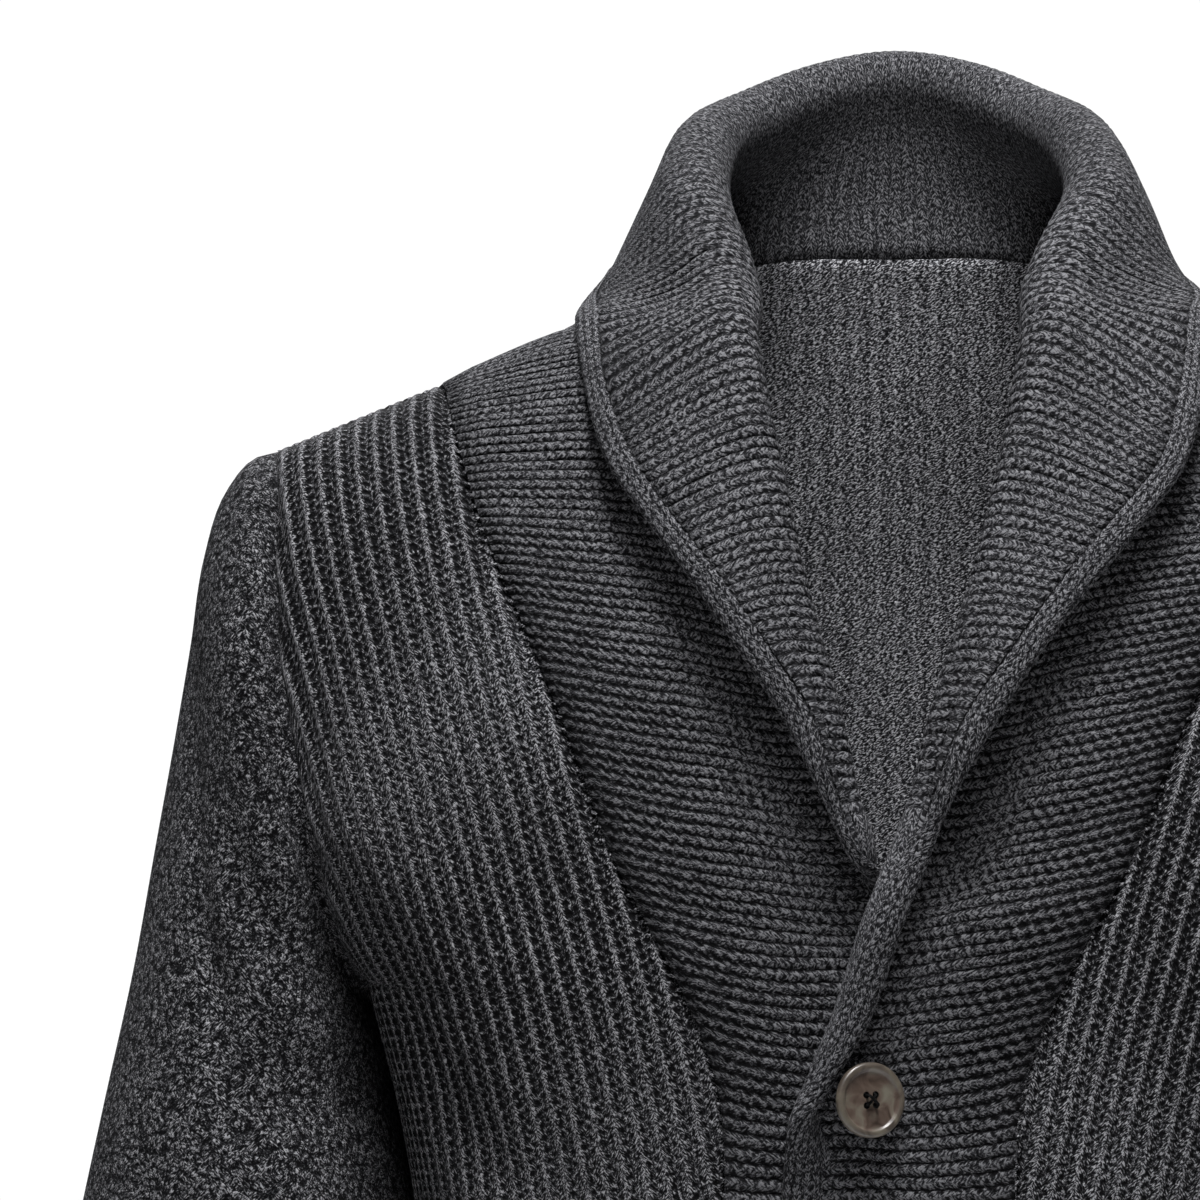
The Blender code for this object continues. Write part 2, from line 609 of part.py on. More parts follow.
def add_sheet(name, rows, normals, outside, inside, material, closed=False):
    """Cloth between two grids, one each side of the given one."""
    bm = bmesh.new()
    outer = grid_faces(bm, shifted(rows, normals, outside), closed)
    inner = grid_faces(bm, shifted(rows, normals, -inside), closed)
    count = len(rows[0])
    for a, b in ((outer[0], inner[0]), (outer[-1], inner[-1])):
        for k in range(count if closed else count - 1):
            n = (k + 1) % count
            bm.faces.new((a[k], a[n], b[n], b[k]))
    if not closed:
        for k in (0, count - 1):
            for i in range(len(rows) - 1):
                bm.faces.new((outer[i][k], outer[i + 1][k], inner[i + 1][k], inner[i][k]))
    return add_object(name, bm, material)


def add_fronts(material):
    """The two front panels; returns their normals by side."""
    normals = {}
    for name, side in (("front_right", -1), ("front_left", 1)):
        rows = front_rows(side)
        normals[side] = grid_normals(rows, False, Vector((side * 0.09, 0.0, -0.3)))
        add_sheet(name, rows, normals[side], 0.0, WALL_BODY, material)
    return normals


def add_back(material):
    """The one-piece back; returns its normals."""
    rows = back_rows()
    normals = grid_normals(rows, False, Vector((0.0, 0.0, -0.3)))
    add_sheet("back", rows, normals, 0.0, WALL_BODY, material)
    return normals


def add_sleeves(material):
    """The two set-in sleeves, each a slanted tube."""
    for name, side in (("sleeve_right", -1), ("sleeve_left", 1)):
        rows = sleeve_rows(side)
        normals = grid_normals(rows, True, Vector((side * 0.25, -0.01, -0.36)))
        add_sheet(name, rows, normals, 0.0, WALL_BODY, material, closed=True)


def seam_normals(fronts, back):
    """The panels' normals along the collar's sewn edge, station by station."""
    neckline = back[-1][len(BACK_SPREAD):-len(BACK_SPREAD)]
    half = len(neckline) // 2
    right = [line[0] for line in fronts[-1][:-1]] + neckline[:half + 1]
    left = [line[0] for line in fronts[1][:-1]] + neckline[:half:-1]
    return right + left[::-1]


def add_collar(fronts, back, material, edging_material):
    """The shawl collar with its bands, and the edging along its free edge."""
    rows, frames = collar_rows()
    normals = grid_normals(rows, False, Vector((0.0, 0.0, -0.3)))
    for line, normal in zip(normals, seam_normals(fronts, back)):
        line[0] = normal if normal.dot(line[0]) > 0 else -normal
    add_sheet("shawl_collar", rows, normals, WALL_COLLAR / 2.0, WALL_COLLAR / 2.0, material)
    bm = bmesh.new()
    rings = []
    for centre, across, normal, room in frames:
        ring = []
        for k in range(EDGING_SIDES):
            turn = 2.0 * pi * k / EDGING_SIDES
            ring.append(centre + across * (0.5 * room * cos(turn))
                        + normal * (0.5 * EDGING_THICKNESS * sin(turn)))
        rings.append(ring)
    grid = grid_faces(bm, rings, closed=True)
    bm.faces.new(grid[0])
    bm.faces.new(list(reversed(grid[-1])))
    add_object("collar_edging", bm, edging_material)


def cut_away(thing, cutter):
    """Cut one solid from another; the cutter is then only a guide."""
    modifier = thing.modifiers.new("cut", "BOOLEAN")
    modifier.object = cutter
    modifier.operation = "DIFFERENCE"
    modifier.solver = "EXACT"
    cutter.hide_render = True
    cutter.display_type = "WIRE"


def band_face(index):
    """Place on the band's outer face behind a button."""
    z = BUTTON_TOP_Z - BUTTON_PITCH * index
    lift = TOP_BUTTON_LIFT if index == 0 else OVER_LIFT
    return Vector((0.0, front_y(0.0, z) - lift - WALL_COLLAR / 2.0, z))


def button_frame(index):
    """Frame at the middle of the button's underside, its axis along local Z."""
    turn = TOP_BUTTON_TURN if index == 0 else 0.0
    nod = TOP_BUTTON_NOD if index == 0 else 0.0
    standoff = TOP_BUTTON_STANDOFF if index == 0 else BUTTON_STANDOFF
    face = Matrix.Rotation(radians(turn), 4, "Z") @ Matrix.Rotation(radians(90.0 - nod), 4, "X")
    return Matrix.Translation(band_face(index) - Vector((0.0, standoff, 0.0))) @ face


def hole_places():
    """Centres of the four sewing holes."""
    return [(sx * HOLE_OFFSET, sy * HOLE_OFFSET) for sx in (-1, 1) for sy in (-1, 1)]


def add_button(index, material):
    """Four-hole button with a flat rim round a shallow dish."""
    frame = button_frame(index)
    profile = (
        (0.0, 0.0), (BUTTON_RADIUS - RIM_ROUND, 0.0), (BUTTON_RADIUS, RIM_ROUND),
        (BUTTON_RADIUS, BUTTON_THICKNESS - RIM_ROUND),
        (BUTTON_RADIUS - RIM_ROUND, BUTTON_THICKNESS),
        (DISH_RADIUS + DISH_DEPTH, BUTTON_THICKNESS),
        (DISH_RADIUS, BUTTON_THICKNESS - DISH_DEPTH), (0.0, BUTTON_THICKNESS - DISH_DEPTH),
    )
    bm = bmesh.new()
    verts = [bm.verts.new((x, 0.0, z)) for x, z in profile]
    edges = [bm.edges.new(pair) for pair in zip(verts, verts[1:])]
    bmesh.ops.spin(bm, geom=verts + edges, cent=(0, 0, 0), axis=(0, 0, 1), angle=2.0 * pi,
                   steps=BUTTON_STEPS, use_merge=True)
    bmesh.ops.remove_doubles(bm, verts=bm.verts[:], dist=1e-6)
    bm.transform(frame)
    button = add_object(f"button_{index + 1}", bm, material)
    holes = bmesh.new()
    for x, y in hole_places():
        place = frame @ Matrix.Translation((x, y, BUTTON_THICKNESS / 2.0))
        bmesh.ops.create_cone(holes, cap_ends=True, segments=HOLE_SIDES, radius1=HOLE_RADIUS,
                              radius2=HOLE_RADIUS, depth=3.0 * BUTTON_THICKNESS, matrix=place)
    cut_away(button, add_object(f"button_holes_{index + 1}", holes, material))


def add_thread(index, material):
    """Sewing thread: two crossing loops through the holes, down to the band."""
    frame = button_frame(index)
    axis = frame.to_3x3() @ Vector((0.0, 0.0, 1.0))
    skin = band_face(index).y - THREAD_FOOT_GAP
    low = BUTTON_THICKNESS - DISH_DEPTH + THREAD_GAP + THREAD_RADIUS
    for name, sign in (("a", 1), ("b", -1)):
        top = low if sign > 0 else low + 2.0 * THREAD_RADIUS + THREAD_GAP
        first, second = (Vector((k * HOLE_OFFSET, k * sign * HOLE_OFFSET, 0.0)) for k in (-1, 1))
        lean = (second - first).normalized() * THREAD_RADIUS
        shoulder = Vector((0.0, 0.0, top - THREAD_RADIUS))
        crown = Vector((0.0, 0.0, top))
        bends = [first + shoulder, first + lean + crown, second - lean + crown, second + shoulder]
        feet = []
        for leg in (frame @ first, frame @ second):
            feet.append(leg - axis * ((leg.y - skin) / axis.y))
        path = [feet[0]] + [frame @ bend for bend in bends] + [feet[1]]
        add_cord(f"button_thread_{index + 1}{name}", path, material)


def add_cord(name, path, material):
    """Round cord along a path, with filled ends."""
    curve = bpy.data.curves.new(name, "CURVE")
    curve.dimensions = "3D"
    curve.bevel_depth = THREAD_RADIUS
    curve.bevel_resolution = 2
    curve.use_fill_caps = True
    spline = curve.splines.new("POLY")
    spline.points.add(len(path) - 1)
    for place, point in zip(path, spline.points):
        point.co = (place.x, place.y, place.z, 1.0)
    curve.materials.append(material)
    bpy.context.scene.collection.objects.link(bpy.data.objects.new(name, curve))


def main():
    """Build the garment."""
    clear_scene()
    knit = make_material("charcoal_knit", CHARCOAL, 0.95)
    rib = make_material("charcoal_rib", CHARCOAL, 0.95)
    edging = make_material("charcoal_edging", CHARCOAL_DARK, 0.95)
    horn = make_material("horn_button", HORN, 0.30)
    thread = make_material("black_thread", THREAD_BLACK, 0.80)
    fronts = add_fronts(knit)
    back = add_back(knit)
    add_sleeves(knit)
    add_collar(fronts, back, rib, edging)
    for index in range(BUTTON_COUNT):
        add_button(index, horn)
        add_thread(index, thread)


main()
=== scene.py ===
"""Shawl collar cardigan in chunky charcoal knit, worn shape with no wearer.

Metres, +Z up, the front towards -Y and the wearer's left towards +X.  The
origin lies midway between the wearer's two high shoulder points.
"""
import logging
from dataclasses import dataclass, field
from enum import Enum
from functools import partial
from math import cos, pi, radians, sin
from typing import Any, Callable, NamedTuple, Sequence

import bmesh
import bpy
import numpy as np
from mathutils import Matrix, Vector


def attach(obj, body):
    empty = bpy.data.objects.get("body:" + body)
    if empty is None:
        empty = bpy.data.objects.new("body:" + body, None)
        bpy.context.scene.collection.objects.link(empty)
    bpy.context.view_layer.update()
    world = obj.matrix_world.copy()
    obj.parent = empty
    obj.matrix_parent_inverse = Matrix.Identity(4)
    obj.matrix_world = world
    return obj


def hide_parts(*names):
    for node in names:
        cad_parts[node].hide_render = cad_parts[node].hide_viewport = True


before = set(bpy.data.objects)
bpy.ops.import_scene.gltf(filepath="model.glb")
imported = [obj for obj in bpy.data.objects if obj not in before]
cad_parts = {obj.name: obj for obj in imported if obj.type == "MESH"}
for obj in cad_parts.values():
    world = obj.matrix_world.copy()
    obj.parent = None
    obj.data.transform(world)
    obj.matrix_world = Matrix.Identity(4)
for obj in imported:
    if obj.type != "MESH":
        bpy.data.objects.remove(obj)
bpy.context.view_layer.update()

log = logging.getLogger("cardigan")

BODY_NAME = "root"
MM = 0.001
FULL_TURN = 2.0 * pi

AddNode = Callable[..., Any]        # add_node with its tree already given


# ---------------- small tools

def smoothstep(low: float, high: float, value: np.ndarray | float) -> np.ndarray | float:
    """Return 0 below low and 1 above high, eased between."""
    share = np.clip((np.asarray(value, float) - low) / (high - low), 0.0, 1.0)
    return share * share * (3.0 - 2.0 * share)


def fade_in(count: int, share: float) -> np.ndarray:
    """Ease from 0 at the first of count places to 1 past a share of them."""
    return smoothstep(0.0, share, np.linspace(0.0, 1.0, count))


def hermite(start: Any, leave: Any, finish: Any, arrive: Any, t: Any) -> Any:
    """Find a point on a cubic with the given ends and end tangents.

    Args:
        start: Where it starts, a number, vector or array.
        leave: Its tangent there.
        finish: Where it ends.
        arrive: Its tangent there.
        t: Share of the way along.

    Returns:
        The point at that share.
    """
    return (start * ((1 + 2 * t) * (1 - t) ** 2) + finish * (t * t * (3 - 2 * t))
            + leave * (t * (1 - t) ** 2) + arrive * (t * t * (t - 1)))


def read_table(rows: Sequence[NamedTuple], key: str, column: str,
               at: np.ndarray | float) -> np.ndarray:
    """Read one column of a table on a smooth curve through its rows.

    Args:
        rows: The table, its key column rising.
        key: Name of the column that at is measured on.
        column: Name of the column to read.
        at: Keys to read the column at.

    Returns:
        The column's values there, held level past both ends.
    """
    keys = np.array([getattr(row, key) for row in rows])
    values = np.array([getattr(row, column) for row in rows])
    span = np.diff(keys)
    rate = np.diff(values) / span
    before = np.concatenate([rate[:1], rate])
    after = np.concatenate([rate, rate[-1:]])
    slope = np.where(before * after > 0, 0.5 * (before + after), 0.0)
    at = np.clip(np.asarray(at, float), keys[0], keys[-1])
    i = np.clip(np.searchsorted(keys, at, side="right") - 1, 0, len(keys) - 2)
    t = (at - keys[i]) / span[i]
    return hermite(values[i], span[i] * slope[i], values[i + 1], span[i] * slope[i + 1], t)


def through_points(points: np.ndarray, keys: np.ndarray, at: np.ndarray) -> np.ndarray:
    """Carry a smooth curve through points that are unevenly spaced.

    Args:
        points: Array whose first axis runs along the curve.
        keys: Place of each point along the curve, rising.
        at: Places to read the curve at.

    Returns:
        The points there.
    """
    span = np.diff(keys)
    shape = (-1,) + (1,) * (points.ndim - 1)
    rate = np.diff(points, axis=0) / span.reshape(shape)
    left = span[:-1].reshape(shape)
    right = span[1:].reshape(shape)
    inner = (rate[:-1] * right + rate[1:] * left) / (left + right)
    slope = np.concatenate([rate[:1], inner, rate[-1:]])
    i = np.clip(np.searchsorted(keys, at, side="right") - 1, 0, len(keys) - 2)
    wide = span[i].reshape(shape)
    t = (at - keys[i]).reshape(shape) / wide
    return hermite(points[i], wide * slope[i], points[i + 1], wide * slope[i + 1], t)


def running(steps: np.ndarray, axis: int = 0) -> np.ndarray:
    """Add up steps along an axis, starting from 0."""
    start = np.zeros_like(np.take(steps, [0], axis=axis))
    return np.concatenate([start, np.cumsum(steps, axis=axis)], axis=axis)


def arc_length(points: np.ndarray, axis: int) -> np.ndarray:
    """Return the distance travelled along one axis of a grid of points."""
    return running(np.linalg.norm(np.diff(points, axis=axis), axis=-1), axis)


def unit(vectors: np.ndarray) -> np.ndarray:
    """Scale vectors to length one."""
    return vectors / np.maximum(np.linalg.norm(vectors, axis=-1, keepdims=True), 1e-12)


def to_linear(code: str) -> tuple[float, float, float, float]:
    """Turn an sRGB hex colour into linear RGBA.

    Args:
        code: The colour, as #rrggbb.

    Returns:
        Its four channels from 0 to 1.
    """
    channels = [int(code[k:k + 2], 16) / 255.0 for k in (1, 3, 5)]
    linear = [c / 12.92 if c <= 0.04045 else ((c + 0.055) / 1.055) ** 2.4 for c in channels]
    return (linear[0], linear[1], linear[2], 1.0)


def add_node(tree: bpy.types.NodeTree, kind: str,
             inputs: dict[int | str, Any] | Sequence[Any] = (), out: int | str = 0,
             stops: Sequence[tuple[float, str]] = (), **settings: Any) -> Any:
    """Add a node with its settings and links.

    Args:
        tree: Node tree that takes the node.
        kind: Blender's name for the node's type, less the word ShaderNode,
            and after a space the operation that it does, if it has one.
        inputs: A value, or another node's output socket, for each input by
            name or number, or for the first inputs in their order.
        out: Which output to hand back.
        stops: Places and hex colours of a colour ramp.
        settings: Properties of the node itself.

    Returns:
        The output socket asked for, or the node where it has none.
    """
    kind, _, operation = kind.partition(" ")
    node = tree.nodes.new("ShaderNode" + kind)
    if operation:
        node.operation = operation
    for name, value in settings.items():
        setattr(node, name, value)
    for name, value in (inputs if isinstance(inputs, dict) else dict(enumerate(inputs))).items():
        if isinstance(value, bpy.types.NodeSocket):
            tree.links.new(value, node.inputs[name])
        else:
            node.inputs[name].default_value = value
    for _ in stops[2:]:
        node.color_ramp.elements.new(0.5)
    for element, (position, code) in zip(node.color_ramp.elements if stops else (), stops):
        element.position = position
        element.color = to_linear(code)
    return node.outputs[out] if node.outputs else node


def blank_material(name: str) -> tuple[bpy.types.Material, AddNode]:
    """Start a material without nodes.

    Args:
        name: What the material is called.

    Returns:
        The material, and the function that adds its nodes.
    """
    material = bpy.data.materials.new(name)
    material.use_nodes = True
    material.node_tree.nodes.clear()
    return material, partial(add_node, material.node_tree)


def to_object(name: str, bm: bmesh.types.BMesh, material: bpy.types.Material,
              place: Matrix | None = None) -> bpy.types.Object:
    """Turn a bmesh into an object at the origin.

    Args:
        name: What the object is called.
        bm: Its shape, which is freed.
        material: Its finish.
        place: Where the shape goes, baked into the mesh.

    Returns:
        The object, in the scene.
    """
    if place is not None:
        bm.transform(place)
    mesh = bpy.data.meshes.new(name)
    bm.to_mesh(mesh)
    bm.free()
    mesh.materials.append(material)
    thing = bpy.data.objects.new(name, mesh)
    bpy.context.scene.collection.objects.link(thing)
    return thing


# ---------------- finishes

class Stitch(Enum):
    """The knit structures of the cardigan."""

    RIB = "rib"
    COLUMN = "column"
    MOSS = "moss"
    PURL = "purl"
    TUBE = "tube"


@dataclass(frozen=True)
class Yarn:
    """Heather yarn: near-black wool with grey and pale fibres spun through it."""

    # painted shade: the near-black that the holes between stitches are painted with
    painted_hole_shade: str = "#050506"
    dark: str = "#101012"
    body: str = "#303033"
    light: str = "#5c5c60"
    fleck: str = "#a8a8ac"
    bloom: str = "#9a9aa0"      # of the loose hairs, seen where the cloth turns away
    fibre_mm: float = 0.47      # from one bunch of like-coloured fibres to the next, drawn
    #                             several times as coarse as single ones so that it shows
    stroke_mm: float = 1.5      # and how far such a bunch runs along the surface
    roughness: float = 0.95
    sheen: float = 0.05


class Spot(NamedTuple):
    """Sockets for the place on the knit."""

    wale: Any                   # across the stitches
    course: Any                 # along them
    wale_turn: Any              # the same two as angles
    course_turn: Any
    flat: Any                   # in millimetres
    drift: Any                  # how far the stitch is off its even place


@dataclass(frozen=True)
class Knit:
    """One knit structure in the heather yarn.

    Woollen knitwear scatters light softly from round strands and glows a little
    where it turns away; the shadow in its holes is painted into its colour as near-black shade.
    """

    name: str
    stitch: Stitch
    wale_mm: float              # width of one repeat of the stitch
    course_mm: float            # height of one repeat
    depth_mm: float             # height of the stitches over the holes
    hole_from: float            # below this height the holes take the full painted shade
    hole_to: float              # above this height no painted shadow is left
    strand_turn: float          # degrees that the strands slant from the columns
    loose_mm: float = 1.0       # how far a stitch may sit from its even place
    phase: float = 0.0          # share of a repeat that this face is shifted by
    gain: float = 1.0           # how pale this face of the cloth is
    uneven: float = 0.9         # how much the height of the loops varies
    shade: float = 0.95         # how dark the painted shade in the holes gets
    smooth_at: float = 0.66     # height of cloth that is stretched smooth
    curl_mm: float = 1.3        # size of the curls of the wool
    patch_mm: float = 55.0      # and of the patches its colour wanders in
    hair_mm: float = 0.45       # how far the fibres stand off
    yarn: Yarn = field(default_factory=Yarn)

    @staticmethod
    def dimple(add: AddNode, spot: Spot, at: tuple[float, float],
               size: tuple[float, float]) -> Any:
        """Build one soft hole that repeats in every stitch.

        Args:
            add: Adds a node to the material.
            spot: Place on the knit.
            at: The hole's middle, in shares of a stitch.
            size: The hole's half width and half height, in shares of a stitch.

        Returns:
            A socket that is 1 in the hole and 0 away from it.
        """
        reach = None
        for place, middle, half in zip((spot.wale, spot.course), at, size):
            turn = add("Math MULTIPLY_ADD", (place, pi, -pi * middle))
            turn = add("Math SINE", (turn,))
            turn = add("Math MULTIPLY", (turn, 1.0 / (pi * half)))
            square = add("Math MULTIPLY", (turn, turn))
            reach = square if reach is None else add("Math ADD", (reach, square))
        reach = add("Math MULTIPLY", (reach, -1.0))
        return add("Math EXPONENT", (reach,))

    def fibres(self, add: AddNode, flat: Any, side: Any) -> Any:
        """Build the yarn's fibres as short strokes that slant one way, then the other.

        Args:
            add: Adds a node to the material.
            flat: Place on the knit in millimetres.
            side: 0 where they slant left and 1 where right.

        Returns:
            A socket from 0 to 1, high on the pale fibres.
        """
        across = 1.0 / self.yarn.fibre_mm
        lays = []
        for turn in (self.strand_turn, -self.strand_turn):
            laid = add("VectorRotate", {"Vector": flat, "Angle": radians(turn)},
                       rotation_type="Z_AXIS")
            laid = add("VectorMath MULTIPLY", (laid, (across, 1.0 / self.yarn.stroke_mm, across)))
            lays.append(add("TexNoise", {"Vector": laid, "Scale": 1.0, "Detail": 1.0,
                                         "Roughness": 0.55, "Distortion": 0.4}, out="Fac"))
        return add("Mix", {"Factor": side, 2: lays[0], 3: lays[1]}, data_type="FLOAT")

    def rib(self, add: AddNode, spot: Spot) -> Any:
        """Each rib is a rope of slanting loops, with a dark channel to the next.

        Args:
            add: Adds a node to the material.
            spot: Place on the knit.

        Returns:
            A socket for the height.
        """
        sway = add("Math SINE", (spot.course_turn,))
        leant = add("Math MULTIPLY_ADD", (sway, 0.55, spot.wale_turn))
        rope = add("Math COSINE", (leant,))
        rope = add("Math MULTIPLY_ADD", (rope, 0.42, 0.50))
        slant = add("Math MULTIPLY_ADD", (spot.wale_turn, 0.8, spot.course_turn))
        loops = add("Math COSINE", (slant,))
        return add("Math MULTIPLY_ADD", (loops, 0.16, rope))

    def column(self, add: AddNode, spot: Spot) -> Any:
        """A thin raised chain, and two files of holes beside it, one hole to each course.

        Args:
            add: Adds a node to the material.
            spot: Place on the knit.

        Returns:
            A socket for the height.
        """
        crest = add("Math COSINE", (spot.wale_turn,))
        crest = add("Math MAXIMUM", (crest, 0.0))
        crest = add("Math POWER", (crest, 5.0))
        level = add("Math MULTIPLY_ADD", (crest, 0.24, 0.66))
        first = self.dimple(add, spot, (0.32, 0.0), (0.155, 0.27))
        second = self.dimple(add, spot, (0.68, 0.5), (0.135, 0.24))
        second = add("Math MULTIPLY", (second, 0.85))
        holes = add("Math MAXIMUM", (first, second))
        return add("Math MULTIPLY_ADD", (holes, -0.95, level))

    def moss(self, add: AddNode, spot: Spot) -> Any:
        """Small round loops, as knit and purl in turn both ways give.

        Args:
            add: Adds a node to the material.
            spot: Place on the knit.

        Returns:
            A socket for the height.
        """
        apart = add("VectorMath SCALE", {0: spot.drift, "Scale": self.loose_mm})
        apart = add("VectorMath ADD", (spot.flat, apart))
        loops = add("TexVoronoi", {"Vector": apart, "Scale": 2.0 / self.wale_mm,
                                   "Smoothness": 0.3, "Randomness": 0.9},
                    out="Distance", feature="SMOOTH_F1")
        return add("MapRange", {"Value": loops, "From Min": 0.15, "From Max": 0.80,
                                "To Min": 0.95, "To Max": 0.05})

    def purl(self, add: AddNode, spot: Spot) -> Any:
        """The wrong side: rows of short bars, faint columns between them.

        Args:
            add: Adds a node to the material.
            spot: Place on the knit.

        Returns:
            A socket for the height.
        """
        bars = add("Math MULTIPLY_ADD", (spot.wale_turn, -2.0, spot.course_turn))
        bars = add("Math COSINE", (bars,))
        bars = add("Math MULTIPLY_ADD", (bars, 0.13, 0.62))
        files = add("Math COSINE", (spot.wale_turn,))
        return add("Math MULTIPLY_ADD", (files, 0.09, bars))

    def tube(self, add: AddNode, spot: Spot) -> Any:
        """Plain stitches, each column a chain of small chevrons.

        Args:
            add: Adds a node to the material.
            spot: Place on the knit.

        Returns:
            A socket for the height.
        """
        lean = add("Math MULTIPLY", (spot.wale, pi))
        lean = add("Math COSINE", (lean,))
        lean = add("Math ABSOLUTE", (lean,))
        chevron = add("Math MULTIPLY_ADD", (lean, 3.2, spot.course_turn))
        chevron = add("Math COSINE", (chevron,))
        chevron = add("Math MULTIPLY_ADD", (chevron, 0.24, 0.15))
        groove = add("Math POWER", (lean, 0.5))
        return add("Math MULTIPLY_ADD", (groove, 0.60, chevron))

    def pattern(self, add: AddNode, place: Any) -> tuple[Any, Any]:
        """Build the stitches and the fibres in them.

        Args:
            add: Adds a node to the material.
            place: Place in space, in metres.

        Returns:
            Sockets for the height, 0 in the holes and 1 on the strands, and
            for the fibres.
        """
        uv = add("UVMap", uv_map="knit")
        uv = add("VectorMath ADD", (uv, (self.phase, 0.0, 0.0)))
        flat = add("VectorMath MULTIPLY", (uv, (self.wale_mm, self.course_mm, 1.0)))
        # no two stitches sit quite alike
        drift = add("TexNoise", {"Vector": place, "Scale": 230.0, "Detail": 2.0}, out="Color")
        drift = add("VectorMath SUBTRACT", (drift, (0.5, 0.5, 0.5)))
        loose = (2.0 * self.loose_mm / self.wale_mm, 2.0 * self.loose_mm / self.course_mm, 1.0)
        moved = add("VectorMath MULTIPLY", (drift, loose))
        uv = add("VectorMath ADD", (uv, moved))
        wale = add("SeparateXYZ", (uv,), out="X")
        course = add("SeparateXYZ", (uv,), out="Y")
        wale_turn = add("Math MULTIPLY", (wale, FULL_TURN))
        course_turn = add("Math MULTIPLY", (course, FULL_TURN))
        side = 1.0
        if self.stitch is Stitch.MOSS:
            # set-in sleeves curve too much for even rows, so the loops lie in space
            flat = add("VectorMath SCALE", {0: place, "Scale": 1.0 / MM})
            flat = add("VectorRotate", {"Vector": flat, "Angle": -pi / 2.0},
                       rotation_type="X_AXIS")
            side = add("SeparateXYZ", (drift,), out="Z")
            side = add("MapRange", {"Value": side, "From Min": -0.06, "From Max": 0.06})
        elif self.stitch is not Stitch.PURL:
            side = add("Math SINE", (wale_turn,))
            side = add("MapRange", {"Value": side, "From Min": -0.3, "From Max": 0.3})
        knit = {Stitch.RIB: self.rib, Stitch.COLUMN: self.column, Stitch.MOSS: self.moss,
                Stitch.PURL: self.purl, Stitch.TUBE: self.tube}[self.stitch]
        spot = Spot(wale, course, wale_turn, course_turn, flat, drift)
        return knit(add, spot), self.fibres(add, flat, side)

    def build(self) -> bpy.types.Material:
        """Make the material.

        Returns:
            The material, ready for a mesh.
        """
        yarn = self.yarn
        material, add = blank_material(self.name)
        place = add("TexCoord", out="Object")
        height, fibres = self.pattern(add, place)
        curls = add("TexNoise", {"Vector": place, "Scale": 1.0 / (self.curl_mm * MM),
                                 "Detail": 2.0, "Roughness": 0.7, "Distortion": 1.6}, out="Fac")
        uneven = add("Math MULTIPLY_ADD", (curls, self.uneven, -0.5 * self.uneven))
        height = add("Math ADD", (height, uneven))
        # where the cloth is stretched smooth its pattern sinks away to a level
        relief = add("Attribute", out="Fac", attribute_name="relief")
        level = add("Math SUBTRACT", (height, self.smooth_at))
        height = add("Math MULTIPLY_ADD", (level, relief, self.smooth_at))
        fibres = add("Mix", {"Factor": 0.20, 2: fibres, 3: curls}, data_type="FLOAT")
        # painted light and shade: strands that stand higher are drawn paler, sunken ones darker
        painted_height_shading = add("Math MULTIPLY_ADD", (height, 0.16, -0.11))
        shown = add("Math ADD", (fibres, painted_height_shading))
        colour = add("ValToRGB", (shown,), stops=((0.43, yarn.dark), (0.48, yarn.body),
                                                  (0.53, yarn.light), (0.60, yarn.fleck)))
        # painted shade: low places of the stitch pattern are mixed towards near-black, standing
        # for the shadow in the holes
        hole = add("MapRange", {"Value": height, "From Min": self.hole_from,
                                "From Max": self.hole_to, "To Min": self.shade, "To Max": 0.0},
                   interpolation_type="SMOOTHSTEP")
        colour = add("Mix", {"Factor": hole, 6: colour, 7: to_linear(yarn.painted_hole_shade)},
                     out=2, data_type="RGBA")
        # the yarn's own colour wanders in broad patches
        broad = add("TexNoise", {"Vector": place, "Scale": 1.0 / (self.patch_mm * MM),
                                 "Detail": 2.0}, out="Fac")
        patch = add("MapRange", {"Value": broad, "From Min": 0.3, "From Max": 0.7,
                                 "To Min": 0.86 * self.gain, "To Max": 1.14 * self.gain})
        colour = add("VectorMath SCALE", {0: colour, "Scale": patch})
        # stitches first, then the hairy fibres over them
        bump = add("Bump", {"Height": height, "Distance": self.depth_mm * MM, "Strength": 1.0},
                   out="Normal")
        bump = add("Bump", {"Height": fibres, "Distance": self.hair_mm * MM, "Strength": 1.0,
                            "Normal": bump}, out="Normal")
        shader = add("BsdfPrincipled", {
            "Base Color": colour, "Roughness": yarn.roughness, "Normal": bump,
            "Sheen Weight": yarn.sheen, "Sheen Roughness": 0.5,
            "Sheen Tint": to_linear(yarn.bloom), "Specular IOR Level": 0.06})
        add("OutputMaterial", {"Surface": shader})
        return material


@dataclass(frozen=True)
class Horn:
    """Polished horn button, turned, cloudy brown-grey under a clear gloss."""

    name: str = "horn_polished"
    dark: str = "#32261f"
    body: str = "#54473f"
    pale: str = "#69655a"

    def build(self) -> bpy.types.Material:
        """Make the material.

        Returns:
            The material, ready for a mesh.
        """
        material, add = blank_material(self.name)
        place = add("TexCoord", out="Object")
        cloud = add("TexNoise", {"Vector": place, "Scale": 130.0, "Detail": 4.0,
                                 "Distortion": 1.4}, out="Fac")
        colour = add("ValToRGB", (cloud,), stops=((0.32, self.dark), (0.52, self.body),
                                                  (0.74, self.pale)))
        grain = add("TexNoise", {"Vector": place, "Scale": 900.0}, out="Fac")
        bump = add("Bump", {"Height": grain, "Distance": 0.02 * MM}, out="Normal")
        shader = add("BsdfPrincipled", {
            "Base Color": colour, "Roughness": 0.38, "Normal": bump, "IOR": 1.54,
            "Coat Weight": 0.20, "Coat Roughness": 0.22})
        add("OutputMaterial", {"Surface": shader})
        return material


